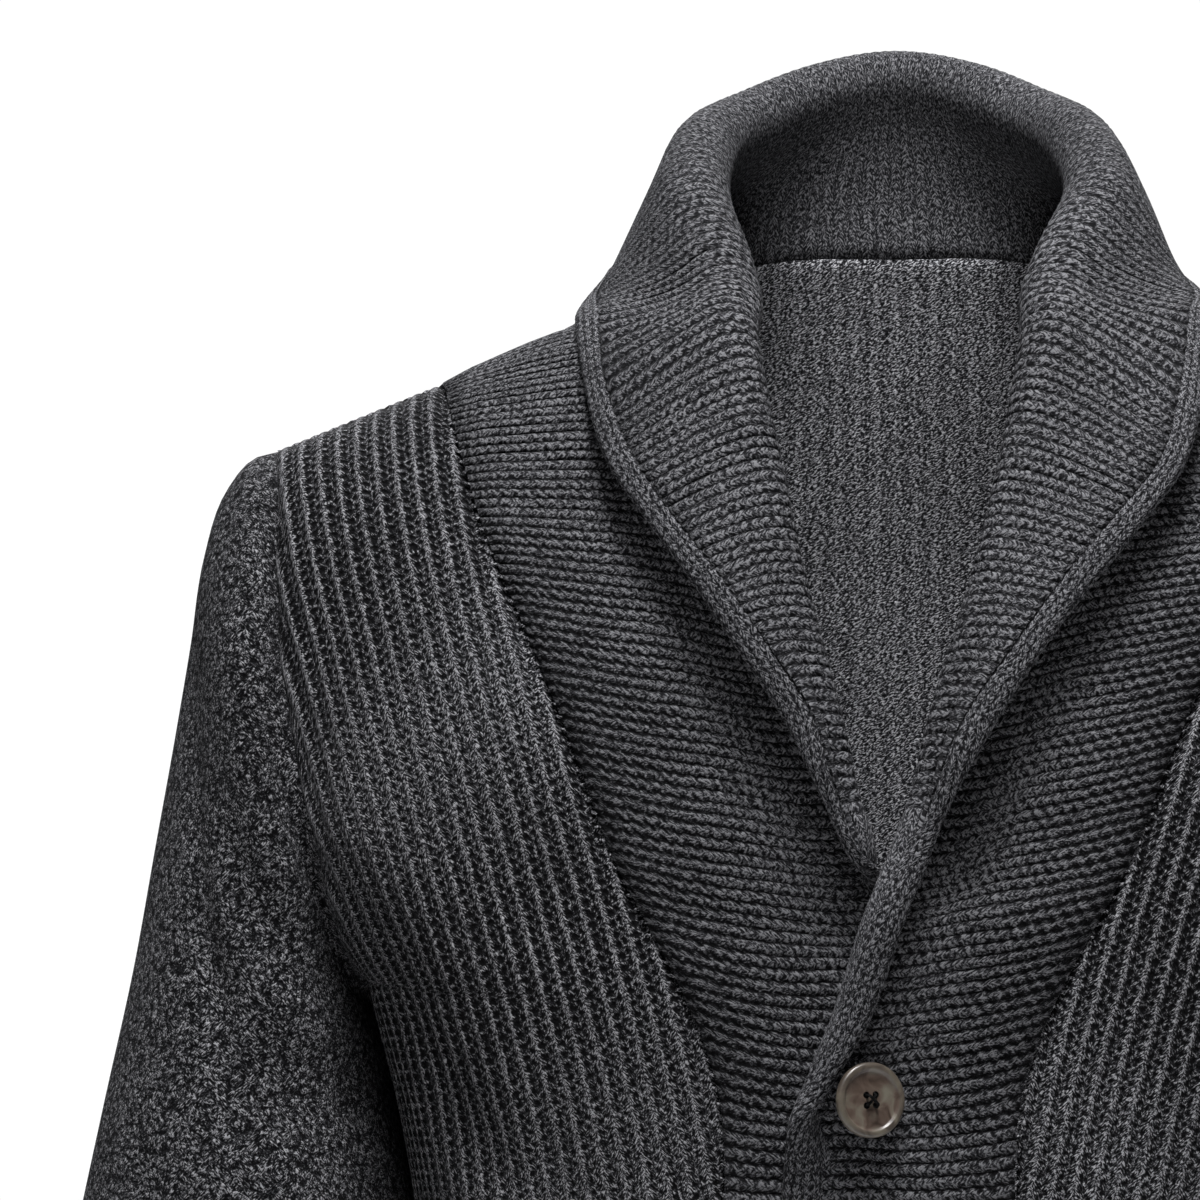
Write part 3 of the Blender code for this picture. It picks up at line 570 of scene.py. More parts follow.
@dataclass(frozen=True)
class SewingThread:
    """Black waxed polyester thread, two plies twisted together."""

    name: str = "sewing_thread_black"
    colour: str = "#070708"
    ply_mm: float = 0.9         # one turn of the twist

    def build(self) -> bpy.types.Material:
        """Make the material.

        Returns:
            The material, ready for a mesh.
        """
        material, add = blank_material(self.name)
        place = add("TexCoord", out="Object")
        twist = add("TexWave", {"Vector": place, "Scale": 1.0 / (self.ply_mm * MM),
                                "Distortion": 0.5}, out="Fac", bands_direction="DIAGONAL")
        bump = add("Bump", {"Height": twist, "Distance": 0.15 * MM}, out="Normal")
        shader = add("BsdfPrincipled", {
            "Base Color": to_linear(self.colour), "Roughness": 0.7, "Normal": bump,
            "Specular IOR Level": 0.12})
        add("OutputMaterial", {"Surface": shader})
        return material


# ---------------- body tables

class Ring(NamedTuple):
    """One section of the body, a superellipse with the exponent square."""

    z: float
    half_width: float
    front: float
    back: float
    square: float


class Arm(NamedTuple):
    """The armhole edge at a share of the way up from underarm to shoulder."""

    rise: float
    x: float
    widen: float
    square: float


class Seam(NamedTuple):
    """The seam between a front and the collar or band sewn to it."""

    z: float
    x: float


class Neck(NamedTuple):
    """The back neckline, from the centre back to the neck corner."""

    x: float
    y: float
    z: float


class Tube(NamedTuple):
    """One ring of a sleeve, by its outer and inner ends."""

    outer_x: float
    outer_z: float
    inner_x: float
    inner_z: float
    half_depth: float
    y: float
    bow: float


class Crease(NamedTuple):
    """A soft trough in the cloth from one place to another."""

    x0: float
    z0: float
    x1: float
    z1: float
    depth: float
    width: float


@dataclass(frozen=True)
class BodyForm:
    """The worn shape that all the panels follow."""

    hem_z: float = -0.690
    underarm_z: float = -0.255
    chest_fall: float = 1.9
    back_fall: float = 2.3
    tip_x: float = 0.2250
    tip_z: float = -0.0600
    shoulder_slope: float = 0.40
    neck_rise_x: float = 0.100
    neck_rise: float = 8.0
    corner_x: float = 0.1615
    corner_z: float = -0.0346
    gap: float = 0.0006
    skin: float = 1e-6          # heights are read this far below the underarm, not above it
    armhole_trough: float = 0.0036
    armhole_reach: float = 0.0130
    rings: tuple[Ring, ...] = (
        Ring(-0.690, 0.1780, 0.1180, 0.1130, 2.40),
        Ring(-0.600, 0.1755, 0.1165, 0.1120, 2.40),
        Ring(-0.510, 0.1700, 0.1165, 0.1060, 2.42),
        Ring(-0.420, 0.1680, 0.1195, 0.1020, 2.48),
        Ring(-0.335, 0.1740, 0.1220, 0.1060, 2.66),
        Ring(-0.255, 0.1885, 0.1220, 0.1120, 2.95),
    )
    armhole: tuple[Arm, ...] = (
        Arm(0.000, 0.1885, 1.000, 2.95),
        Arm(0.030, 0.1905, 1.013, 2.92),
        Arm(0.100, 0.1945, 1.042, 2.80),
        Arm(0.300, 0.2045, 1.100, 2.55),
        Arm(0.500, 0.2130, 1.127, 2.42),
        Arm(0.700, 0.2180, 1.132, 2.40),
        Arm(0.900, 0.2210, 1.132, 2.40),
        Arm(1.000, 0.2250, 1.130, 2.40),
    )
    front_seam: tuple[Seam, ...] = (
        Seam(-0.690, 0.0505),
        Seam(-0.310, 0.0505),
        Seam(-0.290, 0.0520),
        Seam(-0.268, 0.0580),
        Seam(-0.242, 0.0700),
        Seam(-0.206, 0.0895),
        Seam(-0.168, 0.1045),
        Seam(-0.123, 0.1245),
        Seam(-0.085, 0.1425),
        Seam(-0.060, 0.1515),
        Seam(-0.0346, 0.1615),
    )
    neckline: tuple[Neck, ...] = (
        Neck(0.0000, 0.0930, 0.0150),
        Neck(0.0420, 0.0905, 0.0145),
        Neck(0.0800, 0.0820, 0.0060),
        Neck(0.1130, 0.0660, -0.0095),
        Neck(0.1380, 0.0420, -0.0225),
        Neck(0.1540, 0.0160, -0.0312),
        Neck(0.1615, 0.0000, -0.0346),
    )

    def shoulder_z(self, x: np.ndarray) -> np.ndarray:
        """Height of the shoulder line at x."""
        climb = np.maximum(0.0, self.neck_rise_x - x)
        return self.tip_z + (self.tip_x - x) * self.shoulder_slope + self.neck_rise * climb * climb

    def arm(self, column: str, rise: np.ndarray) -> np.ndarray:
        """Read the armhole table."""
        return read_table(self.armhole, "rise", column, rise)

    def ring(self, column: str, z: np.ndarray) -> np.ndarray:
        """Read the body's sections."""
        return read_table(self.rings, "z", column, z)

    def seam_x(self, z: np.ndarray) -> np.ndarray:
        """Where the front seam lies at a height."""
        return read_table(self.front_seam, "z", "x", z)

    @staticmethod
    def share(x: np.ndarray, half_width: np.ndarray, square: np.ndarray) -> np.ndarray:
        """Depth at x as a share of the section's full depth."""
        return np.maximum(0.0, 1.0 - (np.abs(x) / half_width) ** square) ** (1.0 / square)

    def upper_share(self, x: np.ndarray, rise: np.ndarray) -> np.ndarray:
        """The same above the underarm."""
        width = self.arm("x", rise) * self.arm("widen", rise)
        return self.share(x, width, self.arm("square", rise))

    def armhole_sink(self, rise: np.ndarray, away: np.ndarray) -> np.ndarray:
        """How far the cloth falls in beside the front of an armhole seam.

        Args:
            rise: Place up the armhole, 0 at the underarm and 1 at the shoulder.
            away: Distance from the seam.

        Returns:
            The depth of the trough there.
        """
        full = smoothstep(0.0, 0.6, 2.0 * np.sqrt(rise * (1.0 - rise)))
        full = full * (1.0 - smoothstep(0.40, 0.80, rise))
        return self.armhole_trough * full * np.exp(-(away / self.armhole_reach) ** 2)

    def front_y(self, x: np.ndarray, z: np.ndarray) -> np.ndarray:
        """Depth of the front's outer face, carried on to the centre line.

        Args:
            x: Distance from the centre line, to either side.
            z: Height.

        Returns:
            The y of the outer face there.
        """
        x = np.abs(np.asarray(x, float))
        z = np.asarray(z, float)
        low = -self.ring("front", z) * self.share(x, self.ring("half_width", z),
                                                  self.ring("square", z))
        rise = np.clip((z - self.underarm_z) / (self.shoulder_z(x) - self.underarm_z), 0.0, 1.0)
        full = self.rings[-1].front * (1.0 - rise ** self.chest_fall) ** (1.0 / self.chest_fall)
        return np.where(z <= self.underarm_z, low, -full * self.upper_share(x, rise))

    def back_point(self, x: np.ndarray, rise: np.ndarray) -> np.ndarray:
        """Outer face of the back above the underarm.

        Args:
            x: Distance from the centre line.
            rise: Share of the way up to the shoulder.

        Returns:
            The points there.
        """
        side = np.abs(x)
        in_neck = side < self.corner_x
        top_y = np.where(in_neck, read_table(self.neckline, "x", "y", side), 0.0)
        top_z = np.where(in_neck, read_table(self.neckline, "x", "z", side),
                         self.shoulder_z(side))
        low = self.rings[-1].back * self.upper_share(x, rise)
        ease = 1.0 - 0.52 * smoothstep(0.02, self.corner_x, side)
        y = top_y + (low - top_y) * np.maximum(0.0, 1.0 - rise ** self.back_fall) ** ease
        return np.stack([x, y, self.underarm_z + rise * (top_z - self.underarm_z)], axis=-1)

    def rise_of(self, seam_z: np.ndarray) -> np.ndarray:
        """Rise of the panel row that meets the front seam at a height."""
        top = self.shoulder_z(self.seam_x(seam_z))
        return np.clip((seam_z - self.underarm_z) / (top - self.underarm_z), 0.0, 1.0)

    @staticmethod
    def spread(inner: np.ndarray, outer: np.ndarray, half_width: np.ndarray,
               square: np.ndarray, count: int) -> np.ndarray:
        """Places from inner to outer, even around each section.

        Args:
            inner: First place of each row.
            outer: Last place of each row.
            half_width: Half width of each row's section.
            square: Exponent of each row's section.
            count: Number of steps across.

        Returns:
            One row of places for each row given.
        """
        first = np.arcsin(np.clip(inner / half_width, 0.0, 1.0) ** (square / 2.0))
        last = np.arcsin(np.clip(outer / half_width, 0.0, 1.0) ** (square / 2.0))
        share = np.linspace(0.0, 1.0, count + 1)[None, :]
        angle = first[:, None] + (last - first)[:, None] * share
        return half_width[:, None] * np.sin(angle) ** (2.0 / square[:, None])


# ---------------- cloth as a grid

@dataclass
class ClothGrid:
    """A sheet of knit held as a grid of points, dense enough for its ridges."""

    name: str
    points: np.ndarray          # rows x columns x 3
    wale: np.ndarray            # column of stitches at each point
    course: np.ndarray          # row of stitches at each point
    relief: np.ndarray          # how much the knit stands out, 0 to 1
    closed: bool = False        # first and last columns are the same line
    patch: np.ndarray | None = None         # faces that take the last material
    patch_uv: np.ndarray | None = None      # their own stitch counts, wale then course

    def normals(self, inside: Sequence[float]) -> np.ndarray:
        """Find which way the outer face looks.

        Args:
            inside: The place.

        Returns:
            A unit normal at each point.
        """
        rows = np.gradient(self.points, axis=0)
        if self.closed:
            ring = self.points[:, :-1]
            cols = np.roll(ring, -1, axis=1) - np.roll(ring, 1, axis=1)
            cols = np.concatenate([cols, cols[:, :1]], axis=1)
        else:
            cols = np.gradient(self.points, axis=1)
        out = unit(np.cross(rows, cols))
        if np.sum(out * (self.points - np.array(inside))) < 0:
            out = -out
        return out

    def raise_by(self, height: np.ndarray, normals: np.ndarray) -> None:
        """Move every point out along its normal."""
        self.points = self.points + normals * height[..., None]

    def area(self) -> float:
        """Measure the sheet.

        Returns:
            The area, laid flat.
        """
        a = self.points[1:, :-1] - self.points[:-1, :-1]
        b = self.points[:-1, 1:] - self.points[:-1, :-1]
        return float(np.linalg.norm(np.cross(a, b), axis=-1).sum())

    def creased(self, x: np.ndarray, creases: Sequence[Crease], sides: float,
                top: float) -> np.ndarray:
        """Lay creases that fade out before the seams.

        Args:
            x: Places across the sheet, as the creases count them.
            creases: Lines of the troughs.
            sides: Share of the width that they fade over at each side.
            top: Share of the length that they fade over at the top.

        Returns:
            The height at each point, below zero in a trough.
        """
        fade = fade_in(x.shape[1], sides)
        ends = fade_in(x.shape[0], top)[::-1, None]
        return -trough(x, self.points[..., 2], creases) * (fade * fade[::-1])[None, :] * ends

    def pin(self, mesh: bpy.types.Mesh, row: np.ndarray, col: np.ndarray) -> None:
        """Give a flat grid its places, stitch counts and relief.

        Args:
            mesh: The grid.
            row: Which row of points each vertex is.
            col: Which column.
        """
        mesh.vertices.foreach_set("co", self.points[row, col].astype(np.float32).ravel())
        corner = np.empty(len(mesh.loops), np.int32)
        mesh.loops.foreach_get("vertex_index", corner)
        uv = np.stack([self.wale[row, col], self.course[row, col]], axis=-1)[corner]
        if self.patch is not None:
            patched = self.patch[row[corner].reshape(-1, 4).min(axis=1),
                                 col[corner].reshape(-1, 4).min(axis=1)]
            own = self.patch_uv[row, col][corner]
            uv = np.where(np.repeat(patched, 4)[:, None], own, uv)
            mesh.polygons.foreach_set("material_index", np.where(patched, 2, 0).astype(np.int32))
        layer = mesh.uv_layers.new(name="knit")
        layer.data.foreach_set("uv", uv.astype(np.float32).ravel())
        depth = mesh.attributes.new("relief", "FLOAT", "POINT")
        depth.data.foreach_set("value", self.relief[row, col].astype(np.float32))
        mesh.update()

    def build(self, materials: Sequence[bpy.types.Material], wall: float, offset: float,
              outward: np.ndarray) -> bpy.types.Object:
        """Make the sheet's object.

        Args:
            materials: Knit of the outer face, of the inner face, and of the patch if any.
            wall: Thickness of the cloth.
            offset: Solidify's offset, -1 for a wall wholly inside the grid.
            outward: The grid's outward normals.

        Returns:
            The finished object, at the origin.
        """
        rows, cols = self.points.shape[:2]
        bm = bmesh.new()
        bmesh.ops.create_grid(bm, x_segments=cols - 1, y_segments=rows - 1, size=1.0)
        thing = to_object(self.name, bm, materials[0])
        mesh = thing.data
        for material in materials[1:]:
            mesh.materials.append(material)
        flat = np.empty(len(mesh.vertices) * 3, np.float32)
        mesh.vertices.foreach_get("co", flat)
        share = (flat.reshape(-1, 3) + 1.0) / 2.0
        self.pin(mesh, np.rint(share[:, 1] * (rows - 1)).astype(int),
                 np.rint(share[:, 0] * (cols - 1)).astype(int))
        bm = bmesh.new()
        bm.from_mesh(mesh)
        if self.closed:
            bmesh.ops.remove_doubles(bm, verts=bm.verts[:], dist=1e-6)
        # faces of the middle row tell whether the grid came out inside out
        bm.faces.ensure_lookup_table()
        middle = rows // 2
        facing = sum(bm.faces[middle * (cols - 1) + k].normal.dot(Vector(outward[middle, k]))
                     for k in range(0, cols - 1, max(1, cols // 12)))
        if facing < 0:
            bmesh.ops.reverse_faces(bm, faces=bm.faces[:])
        bm.to_mesh(mesh)
        bm.free()
        mesh.shade_smooth()
        solid = thing.modifiers.new("wall", "SOLIDIFY")
        solid.thickness = wall
        solid.offset = offset
        solid.material_offset = 1
        return thing


def hand_in(thing: bpy.types.Object, nodes: Sequence[str],
            area: float | None = None) -> None:
    """Attach a piece to the body, hide the solids it stands for, and log it.

    Args:
        thing: The finished piece.
        nodes: The solids that it is shown in place of.
        area: Its flat area, where it is a sheet.
    """
    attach(thing, BODY_NAME)
    if nodes:
        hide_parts(*nodes)
    shown = thing.evaluated_get(bpy.context.evaluated_depsgraph_get())
    log.info("%s: %d faces, stands for %s, area %s", thing.name, len(shown.data.polygons),
             ", ".join(nodes) or "no solid", f"{area:.4f}" if area else "none")


def trough(x: np.ndarray, z: np.ndarray, creases: Sequence[Crease]) -> np.ndarray:
    """Depth of a panel's creases at each place.

    Args:
        x: Places across the panel.
        z: Places up the panel.
        creases: Lines of the troughs; a negative depth is a ridge.

    Returns:
        How far the cloth sinks there.
    """
    sunk = np.zeros_like(x)
    for crease in creases:
        run_x = crease.x1 - crease.x0
        run_z = crease.z1 - crease.z0
        length = (run_x ** 2 + run_z ** 2) ** 0.5
        along = ((x - crease.x0) * run_x + (z - crease.z0) * run_z) / length ** 2
        away = ((x - crease.x0) * run_z - (z - crease.z0) * run_x) / length
        bend = 0.18 * crease.width * np.sin(5.0 * along + 40.0 * crease.x0)
        fade = smoothstep(-0.15, 0.30, along) * (1.0 - smoothstep(0.60, 1.15, along))
        sunk = sunk + crease.depth * np.exp(-((away - bend) / crease.width) ** 2) * fade
    return sunk


# ---------------- body of cloth

@dataclass
class Fronts:
    """The two front panels, knitted in raised columns."""

    form: BodyForm
    wall: float = 0.0030
    column: float = 0.0075      # from one raised column to the next
    course: float = 0.0041      # from one hole to the next along a file
    ridge: float = 0.00055      # height of the columns
    # how far the columns lean in towards the middle, at each of these heights
    lean_z: tuple[float, ...] = (-0.70, -0.45, -0.35, -0.27, -0.20, -0.12, -0.06, -0.03)
    lean: tuple[float, ...] = (0.00, 0.00, 0.12, 0.25, 0.30, 0.30, 0.20, 0.18)
    course_drop: float = 0.10   # how far the courses run down towards the side
    seam_dip: float = 0.0021    # the edges turn in to their seams
    seam_reach: float = 0.0030
    edge_share: float = 0.05    # the creases fade out over this share of the width
    top_share: float = 0.04     # and of the height
    across: int = 112
    upper_step: float = 0.0024
    lower_step: float = 0.0040
    creases: tuple[Crease, ...] = (
        Crease(0.183, -0.245, 0.120, -0.330, 0.0035, 0.011),
        Crease(0.186, -0.262, 0.150, -0.400, 0.0030, 0.013),
        Crease(0.200, -0.205, 0.150, -0.262, 0.0026, 0.010),
        Crease(0.206, -0.110, 0.196, -0.200, 0.0018, 0.012),
        Crease(0.165, -0.420, 0.080, -0.480, 0.0024, 0.016),
        Crease(0.160, -0.520, 0.075, -0.560, 0.0020, 0.015),
        Crease(0.090, -0.330, 0.060, -0.440, 0.0016, 0.014),
    )

    def grid(self, side: int) -> ClothGrid:
        """Lay out one front.

        Args:
            side: -1 for the wearer's right, 1 for the left.

        Returns:
            The panel's grid, still without thickness.
        """
        form = self.form
        low = np.arange(form.hem_z, form.underarm_z, self.lower_step)
        low = np.linspace(form.hem_z, form.underarm_z, len(low))[:-1]
        count = int((form.corner_z - form.underarm_z) / self.upper_step)
        high = np.linspace(form.underarm_z, form.corner_z, count)
        inset = form.gap / 2.0
        x_low = form.spread(form.seam_x(low) + inset, form.ring("half_width", low),
                            form.ring("half_width", low), form.ring("square", low), self.across)
        z_low = np.repeat(low[:, None], self.across + 1, axis=1)
        rise = form.rise_of(high)
        width = form.arm("x", rise) * form.arm("widen", rise)
        x_high = form.spread(form.seam_x(high) + inset, form.arm("x", rise), width,
                             form.arm("square", rise), self.across)
        z_high = form.underarm_z + rise[:, None] * (form.shoulder_z(x_high) - form.underarm_z)
        x = np.concatenate([x_low, x_high])
        z = np.concatenate([z_low, z_high])
        y = form.front_y(x, z - form.skin) - inset
        y[-1] = -inset
        points = np.stack([side * x, y, z], axis=-1)
        # over the chest the columns keep their spacing as seen from in front
        step = np.diff(points, axis=1)
        spread = 1.0 - 0.8 * smoothstep(-0.30, -0.16, z[:, 1:])
        along = running(np.sqrt(step[..., 0] ** 2 + spread * step[..., 1] ** 2), 1)
        up = arc_length(points, 0)
        fine = np.linspace(self.lean_z[0], 0.0, 701)
        total = np.cumsum(np.interp(fine, self.lean_z, self.lean)) * (fine[1] - fine[0])
        wale = (along + x[:, :1] - np.interp(z, fine, total)) / self.column
        course = (up + self.course_drop * along) / self.course
        relief = 0.75 + 0.25 * np.sin(23.0 * x + 31.0 * z)
        return ClothGrid("front_knit", points, side * wale, course, relief)

    def build(self, materials: Sequence[bpy.types.Material]) -> None:
        """Make both fronts.

        Args:
            materials: Knit of the outer and of the inner face.
        """
        form = self.form
        for side, node in ((-1, "front_right"), (1, "front_left")):
            grid = self.grid(side)
            grid.name = f"{node}_knit"
            normals = grid.normals((side * 0.09, 0.0, -0.30))
            height = grid.creased(np.abs(grid.points[..., 0]), self.creases, self.edge_share,
                                  self.top_share)
            height += self.ridge * np.cos(FULL_TURN * grid.wale) * grid.relief
            reach = arc_length(grid.points, 1)
            height -= self.seam_dip * np.exp(-(reach / self.seam_reach) ** 2)
            rise = (grid.points[:, -1:, 2] - form.underarm_z) / (form.tip_z - form.underarm_z)
            area = grid.area()
            grid.raise_by(height, normals)
            grid.points[..., 1] += form.armhole_sink(np.clip(rise, 0.0, 1.0),
                                                     reach[:, -1:] - reach)
            panel = grid.build(materials, self.wall, -1.0, normals)
            hand_in(panel, [node], area)


@dataclass
class LinkStitches:
    """The yarn that links each front to the strip, seen as slanting bars in the seam."""

    form: BodyForm
    pitch: float = 0.0053       # from one bar to the next
    low_z: float = -0.640
    high_z: float = -0.050
    half_length: float = 0.0020
    half_width: float = 0.00070
    sunk: float = 0.0008        # how deep the bars' middles lie in the seam
    slant: float = 32.0         # degrees that the bars lean by

    def build(self, yarn: bpy.types.Material) -> None:
        """Lay the stitches of both seams.

        Args:
            yarn: Finish of the bars.
        """
        z = np.linspace(self.low_z, self.high_z, 2001)
        forward = Vector((0.0, -1.0, 0.0))
        for side, name in ((-1, "link_stitches_right"), (1, "link_stitches_left")):
            x = self.form.seam_x(z)
            y = self.form.front_y(x, z - self.form.skin)
            line = np.stack([side * x, y, z], axis=-1)
            run = arc_length(line, 0)
            places = through_points(line, run, np.arange(0.0, run[-1], self.pitch))
            bm = bmesh.new()
            for index, (place, run_on) in enumerate(zip(places, np.gradient(places, axis=0))):
                along = Vector(run_on).normalized()
                turn = Matrix((forward.cross(along).normalized(), forward, along))
                turn = turn.transposed().to_4x4()
                lean = self.slant * (1.0 + 0.3 * sin(2.1 * index)) * side
                length = self.half_length * (1.0 + 0.2 * sin(1.7 * index))
                shape = (Matrix.Translation(Vector(place) + Vector((0.0, self.sunk, 0.0))) @ turn
                         @ Matrix.Rotation(radians(lean), 4, "Y")
                         @ Matrix.Diagonal((length, self.half_width, self.half_width, 1.0)))
                bmesh.ops.create_uvsphere(bm, u_segments=8, v_segments=6, radius=1.0, matrix=shape)
            bmesh.ops.recalc_face_normals(bm, faces=bm.faces[:])
            stitches = to_object(name, bm, yarn)
            stitches.data.shade_smooth()
            hand_in(stitches, [])


@dataclass
class BackPanel:
    """The one-piece back, in the same raised columns."""

    form: BodyForm
    wall: float = 0.0030
    column: float = 0.0075
    course: float = 0.0041
    ridge: float = 0.00055
    drawn_up: float = 0.0007    # the top edge is drawn up to the stand's first row
    corner_fade: float = 0.02
    armhole_run: float = 0.235  # length of cloth from the underarm to the shoulder
    edge_share: float = 0.05    # the creases fade out over this share of the panel
    across: int = 200
    step: float = 0.0036
    creases: tuple[Crease, ...] = (
        Crease(0.190, -0.235, 0.110, -0.300, 0.0032, 0.012),
        Crease(-0.188, -0.240, -0.120, -0.315, 0.0028, 0.012),
        Crease(0.185, -0.265, 0.140, -0.390, 0.0028, 0.014),
        Crease(-0.186, -0.262, -0.150, -0.380, 0.0030, 0.013),
        Crease(0.120, -0.400, -0.090, -0.430, 0.0026, 0.016),
        Crease(-0.130, -0.455, 0.080, -0.490, 0.0024, 0.017),
        Crease(0.080, -0.050, 0.130, -0.160, 0.0020, 0.015),
        Crease(-0.090, -0.055, -0.125, -0.170, 0.0020, 0.015),
        Crease(0.020, -0.520, 0.030, -0.660, 0.0018, 0.018),
    )

    def build(self, materials: Sequence[bpy.types.Material]) -> None:
        """Make the back.

        Args:
            materials: Knit of the outer and of the inner face.
        """
        form = self.form
        count = int((form.underarm_z - form.hem_z) / self.step)
        low = np.linspace(form.hem_z, form.underarm_z, count)[:-1]
        rise = np.linspace(0.0, 1.0, int(self.armhole_run / self.step))
        half = self.across // 2
        width_low = form.ring("half_width", low)
        square = form.ring("square", low)
        x_low = form.spread(0.0 * low, width_low, width_low, square, half)
        depth = form.ring("back", low)[:, None] * form.share(
            x_low, width_low[:, None], square[:, None])
        lower = np.stack([x_low, depth, np.repeat(low[:, None], half + 1, axis=1)], axis=-1)
        x_high = form.arm("x", rise)[:, None] * x_low[-1][None, :] / width_low[-1]
        upper = form.back_point(x_high, np.repeat(rise[:, None], half + 1, axis=1))
        upper[-1, :, 2] += self.drawn_up * (1.0 - smoothstep(
            form.corner_x - self.corner_fade, form.corner_x, x_high[-1]))
        points = np.concatenate([lower, upper])
        points[..., 1] += form.gap / 2.0
        mirrored = points[:, :0:-1] * np.array([-1.0, 1.0, 1.0])
        points = np.concatenate([mirrored, points], axis=1)
        along = arc_length(points, 1)
        along = along - along[:, half:half + 1]
        grid = ClothGrid("back_knit", points, along / self.column,
                         arc_length(points, 0) / self.course, np.full(along.shape, 0.85))
        normals = grid.normals((0.0, 0.0, -0.30))
        height = grid.creased(points[..., 0], self.creases, self.edge_share, self.edge_share)
        height += self.ridge * np.cos(FULL_TURN * grid.wale)
        area = grid.area()
        grid.raise_by(height, normals)
        panel = grid.build(materials, self.wall, -1.0, normals)
        hand_in(panel, ["back"], area)


@dataclass
class Sleeves:
    """The two set-in sleeves, in moss stitch."""

    form: BodyForm
    wall: float = 0.0030
    seed: float = 0.0048        # two loops across
    course: float = 0.0046      # two loops up
    armhole_gap: float = -0.0004    # the seam is drawn together
    around: int = 132
    step: float = 0.0034
    girth: float = 0.36         # length round the sleeve that its creases are measured on
    # the knit leans on the body under the arm, up to 9 mm nearer than its rigid
    # solid, which has to keep clear there
    rings: tuple[Tube, ...] = (
        Tube(0.2345, -0.0630, 0.1892, -0.2625, 0.0625, 0.001, 1.00),
        Tube(0.2440, -0.0750, 0.1876, -0.2700, 0.0655, 0.001, 0.90),
        Tube(0.2515, -0.0980, 0.1854, -0.2790, 0.0665, 0.001, 0.75),
        Tube(0.2565, -0.1300, 0.1828, -0.2900, 0.0660, 0.001, 0.55),
        Tube(0.2625, -0.1660, 0.1801, -0.3020, 0.0650, 0.000, 0.35),
        Tube(0.2695, -0.2050, 0.1770, -0.3150, 0.0640, -0.001, 0.20),
        Tube(0.2770, -0.2480, 0.1742, -0.3300, 0.0630, -0.003, 0.10),
        Tube(0.2870, -0.2980, 0.1728, -0.3530, 0.0620, -0.010, 0.00),
        Tube(0.2970, -0.3480, 0.1795, -0.3880, 0.0600, -0.016, 0.00),
        Tube(0.3080, -0.4050, 0.1975, -0.4380, 0.0570, -0.021, 0.00),
        Tube(0.3230, -0.4850, 0.2225, -0.5110, 0.0520, -0.028, 0.00),
        Tube(0.3390, -0.5750, 0.2488, -0.5960, 0.0465, -0.036, 0.00),
        Tube(0.3545, -0.6650, 0.2745, -0.6830, 0.0415, -0.044, 0.00),
    )
    # here x is the turn round the sleeve, 0 underarm, 0.25 front, 0.5 shoulder,
    # and z the distance down from the armhole
    creases: tuple[Crease, ...] = (
        Crease(0.08, 0.020, 0.34, 0.100, 0.0040, 0.013),
        Crease(0.06, 0.060, 0.38, 0.160, 0.0036, 0.014),
        Crease(0.42, 0.080, 0.20, 0.190, 0.0026, 0.013),
        Crease(0.10, 0.260, 0.36, 0.235, 0.0040, 0.012),
        Crease(0.12, 0.305, 0.42, 0.300, 0.0044, 0.012),
        Crease(0.08, 0.350, 0.34, 0.372, 0.0036, 0.012),
        Crease(0.62, 0.270, 0.88, 0.300, 0.0034, 0.014),
        Crease(0.60, 0.120, 0.92, 0.070, 0.0034, 0.014),
        Crease(0.16, 0.470, 0.44, 0.500, 0.0030, 0.013),
        Crease(0.56, 0.430, 0.86, 0.470, 0.0028, 0.014),
    )

    def first_ring(self, turn: np.ndarray, side: int) -> np.ndarray:
        """The armhole edge that the sleeve is sewn to.

        Args:
            turn: Angles round the sleeve, from the underarm by way of the front.
            side: -1 for the wearer's right, 1 for the left.

        Returns:
            The edge's points.
        """
        form = self.form
        rise = (1.0 - np.cos(turn)) / 2.0
        x = form.arm("x", rise)
        z = form.underarm_z + rise * (form.shoulder_z(x) - form.underarm_z)
        front = form.front_y(x, z - form.skin)
        behind = form.back_point(x, rise)[..., 1]
        blend = smoothstep(-0.12, 0.12, np.sin(turn))
        y = front * blend + behind * (1.0 - blend)
        return np.stack([side * (x + self.armhole_gap), y, z], axis=-1)

    def grid(self, side: int) -> ClothGrid:
        """Lay out one sleeve.

        Args:
            side: -1 for the wearer's right, 1 for the left.

        Returns:
            The sleeve's grid, its first and last columns together.
        """
        turn = np.linspace(0.0, FULL_TURN, self.around + 1)
        rise = (1.0 - np.cos(turn)) / 2.0
        rings = [self.first_ring(turn, side)]
        tip = self.form.armhole[-1].x
        base = self.form.armhole[0].x
        curve = self.form.arm("x", rise) - base - rise * (tip - base)
        for row in self.rings:
            x = row.inner_x + (row.outer_x - row.inner_x) * rise + row.bow * curve
            z = row.inner_z + (row.outer_z - row.inner_z) * rise
            y = row.y - row.half_depth * np.sin(turn)
            rings.append(np.stack([side * x, y, z], axis=-1))
        rings = np.array(rings)
        keys = arc_length(rings.mean(axis=1), 0)
        down = np.linspace(0.0, keys[-1], int(keys[-1] / self.step))
        points = through_points(rings, keys, down)
        points[:, -1] = points[:, 0]
        hang = unit(points[-1].mean(axis=0) - points[0].mean(axis=0))
        course = points @ hang / self.course
        step = np.diff(points, axis=1)
        run = running(np.linalg.norm(step - (step @ hang)[..., None] * hang, axis=-1), 1)
        half = self.around // 2
        wale = (run - run[:, half:half + 1]) / self.seed
        return ClothGrid("sleeve_knit", points, side * wale, course,
                         np.full(wale.shape, 0.9), closed=True)

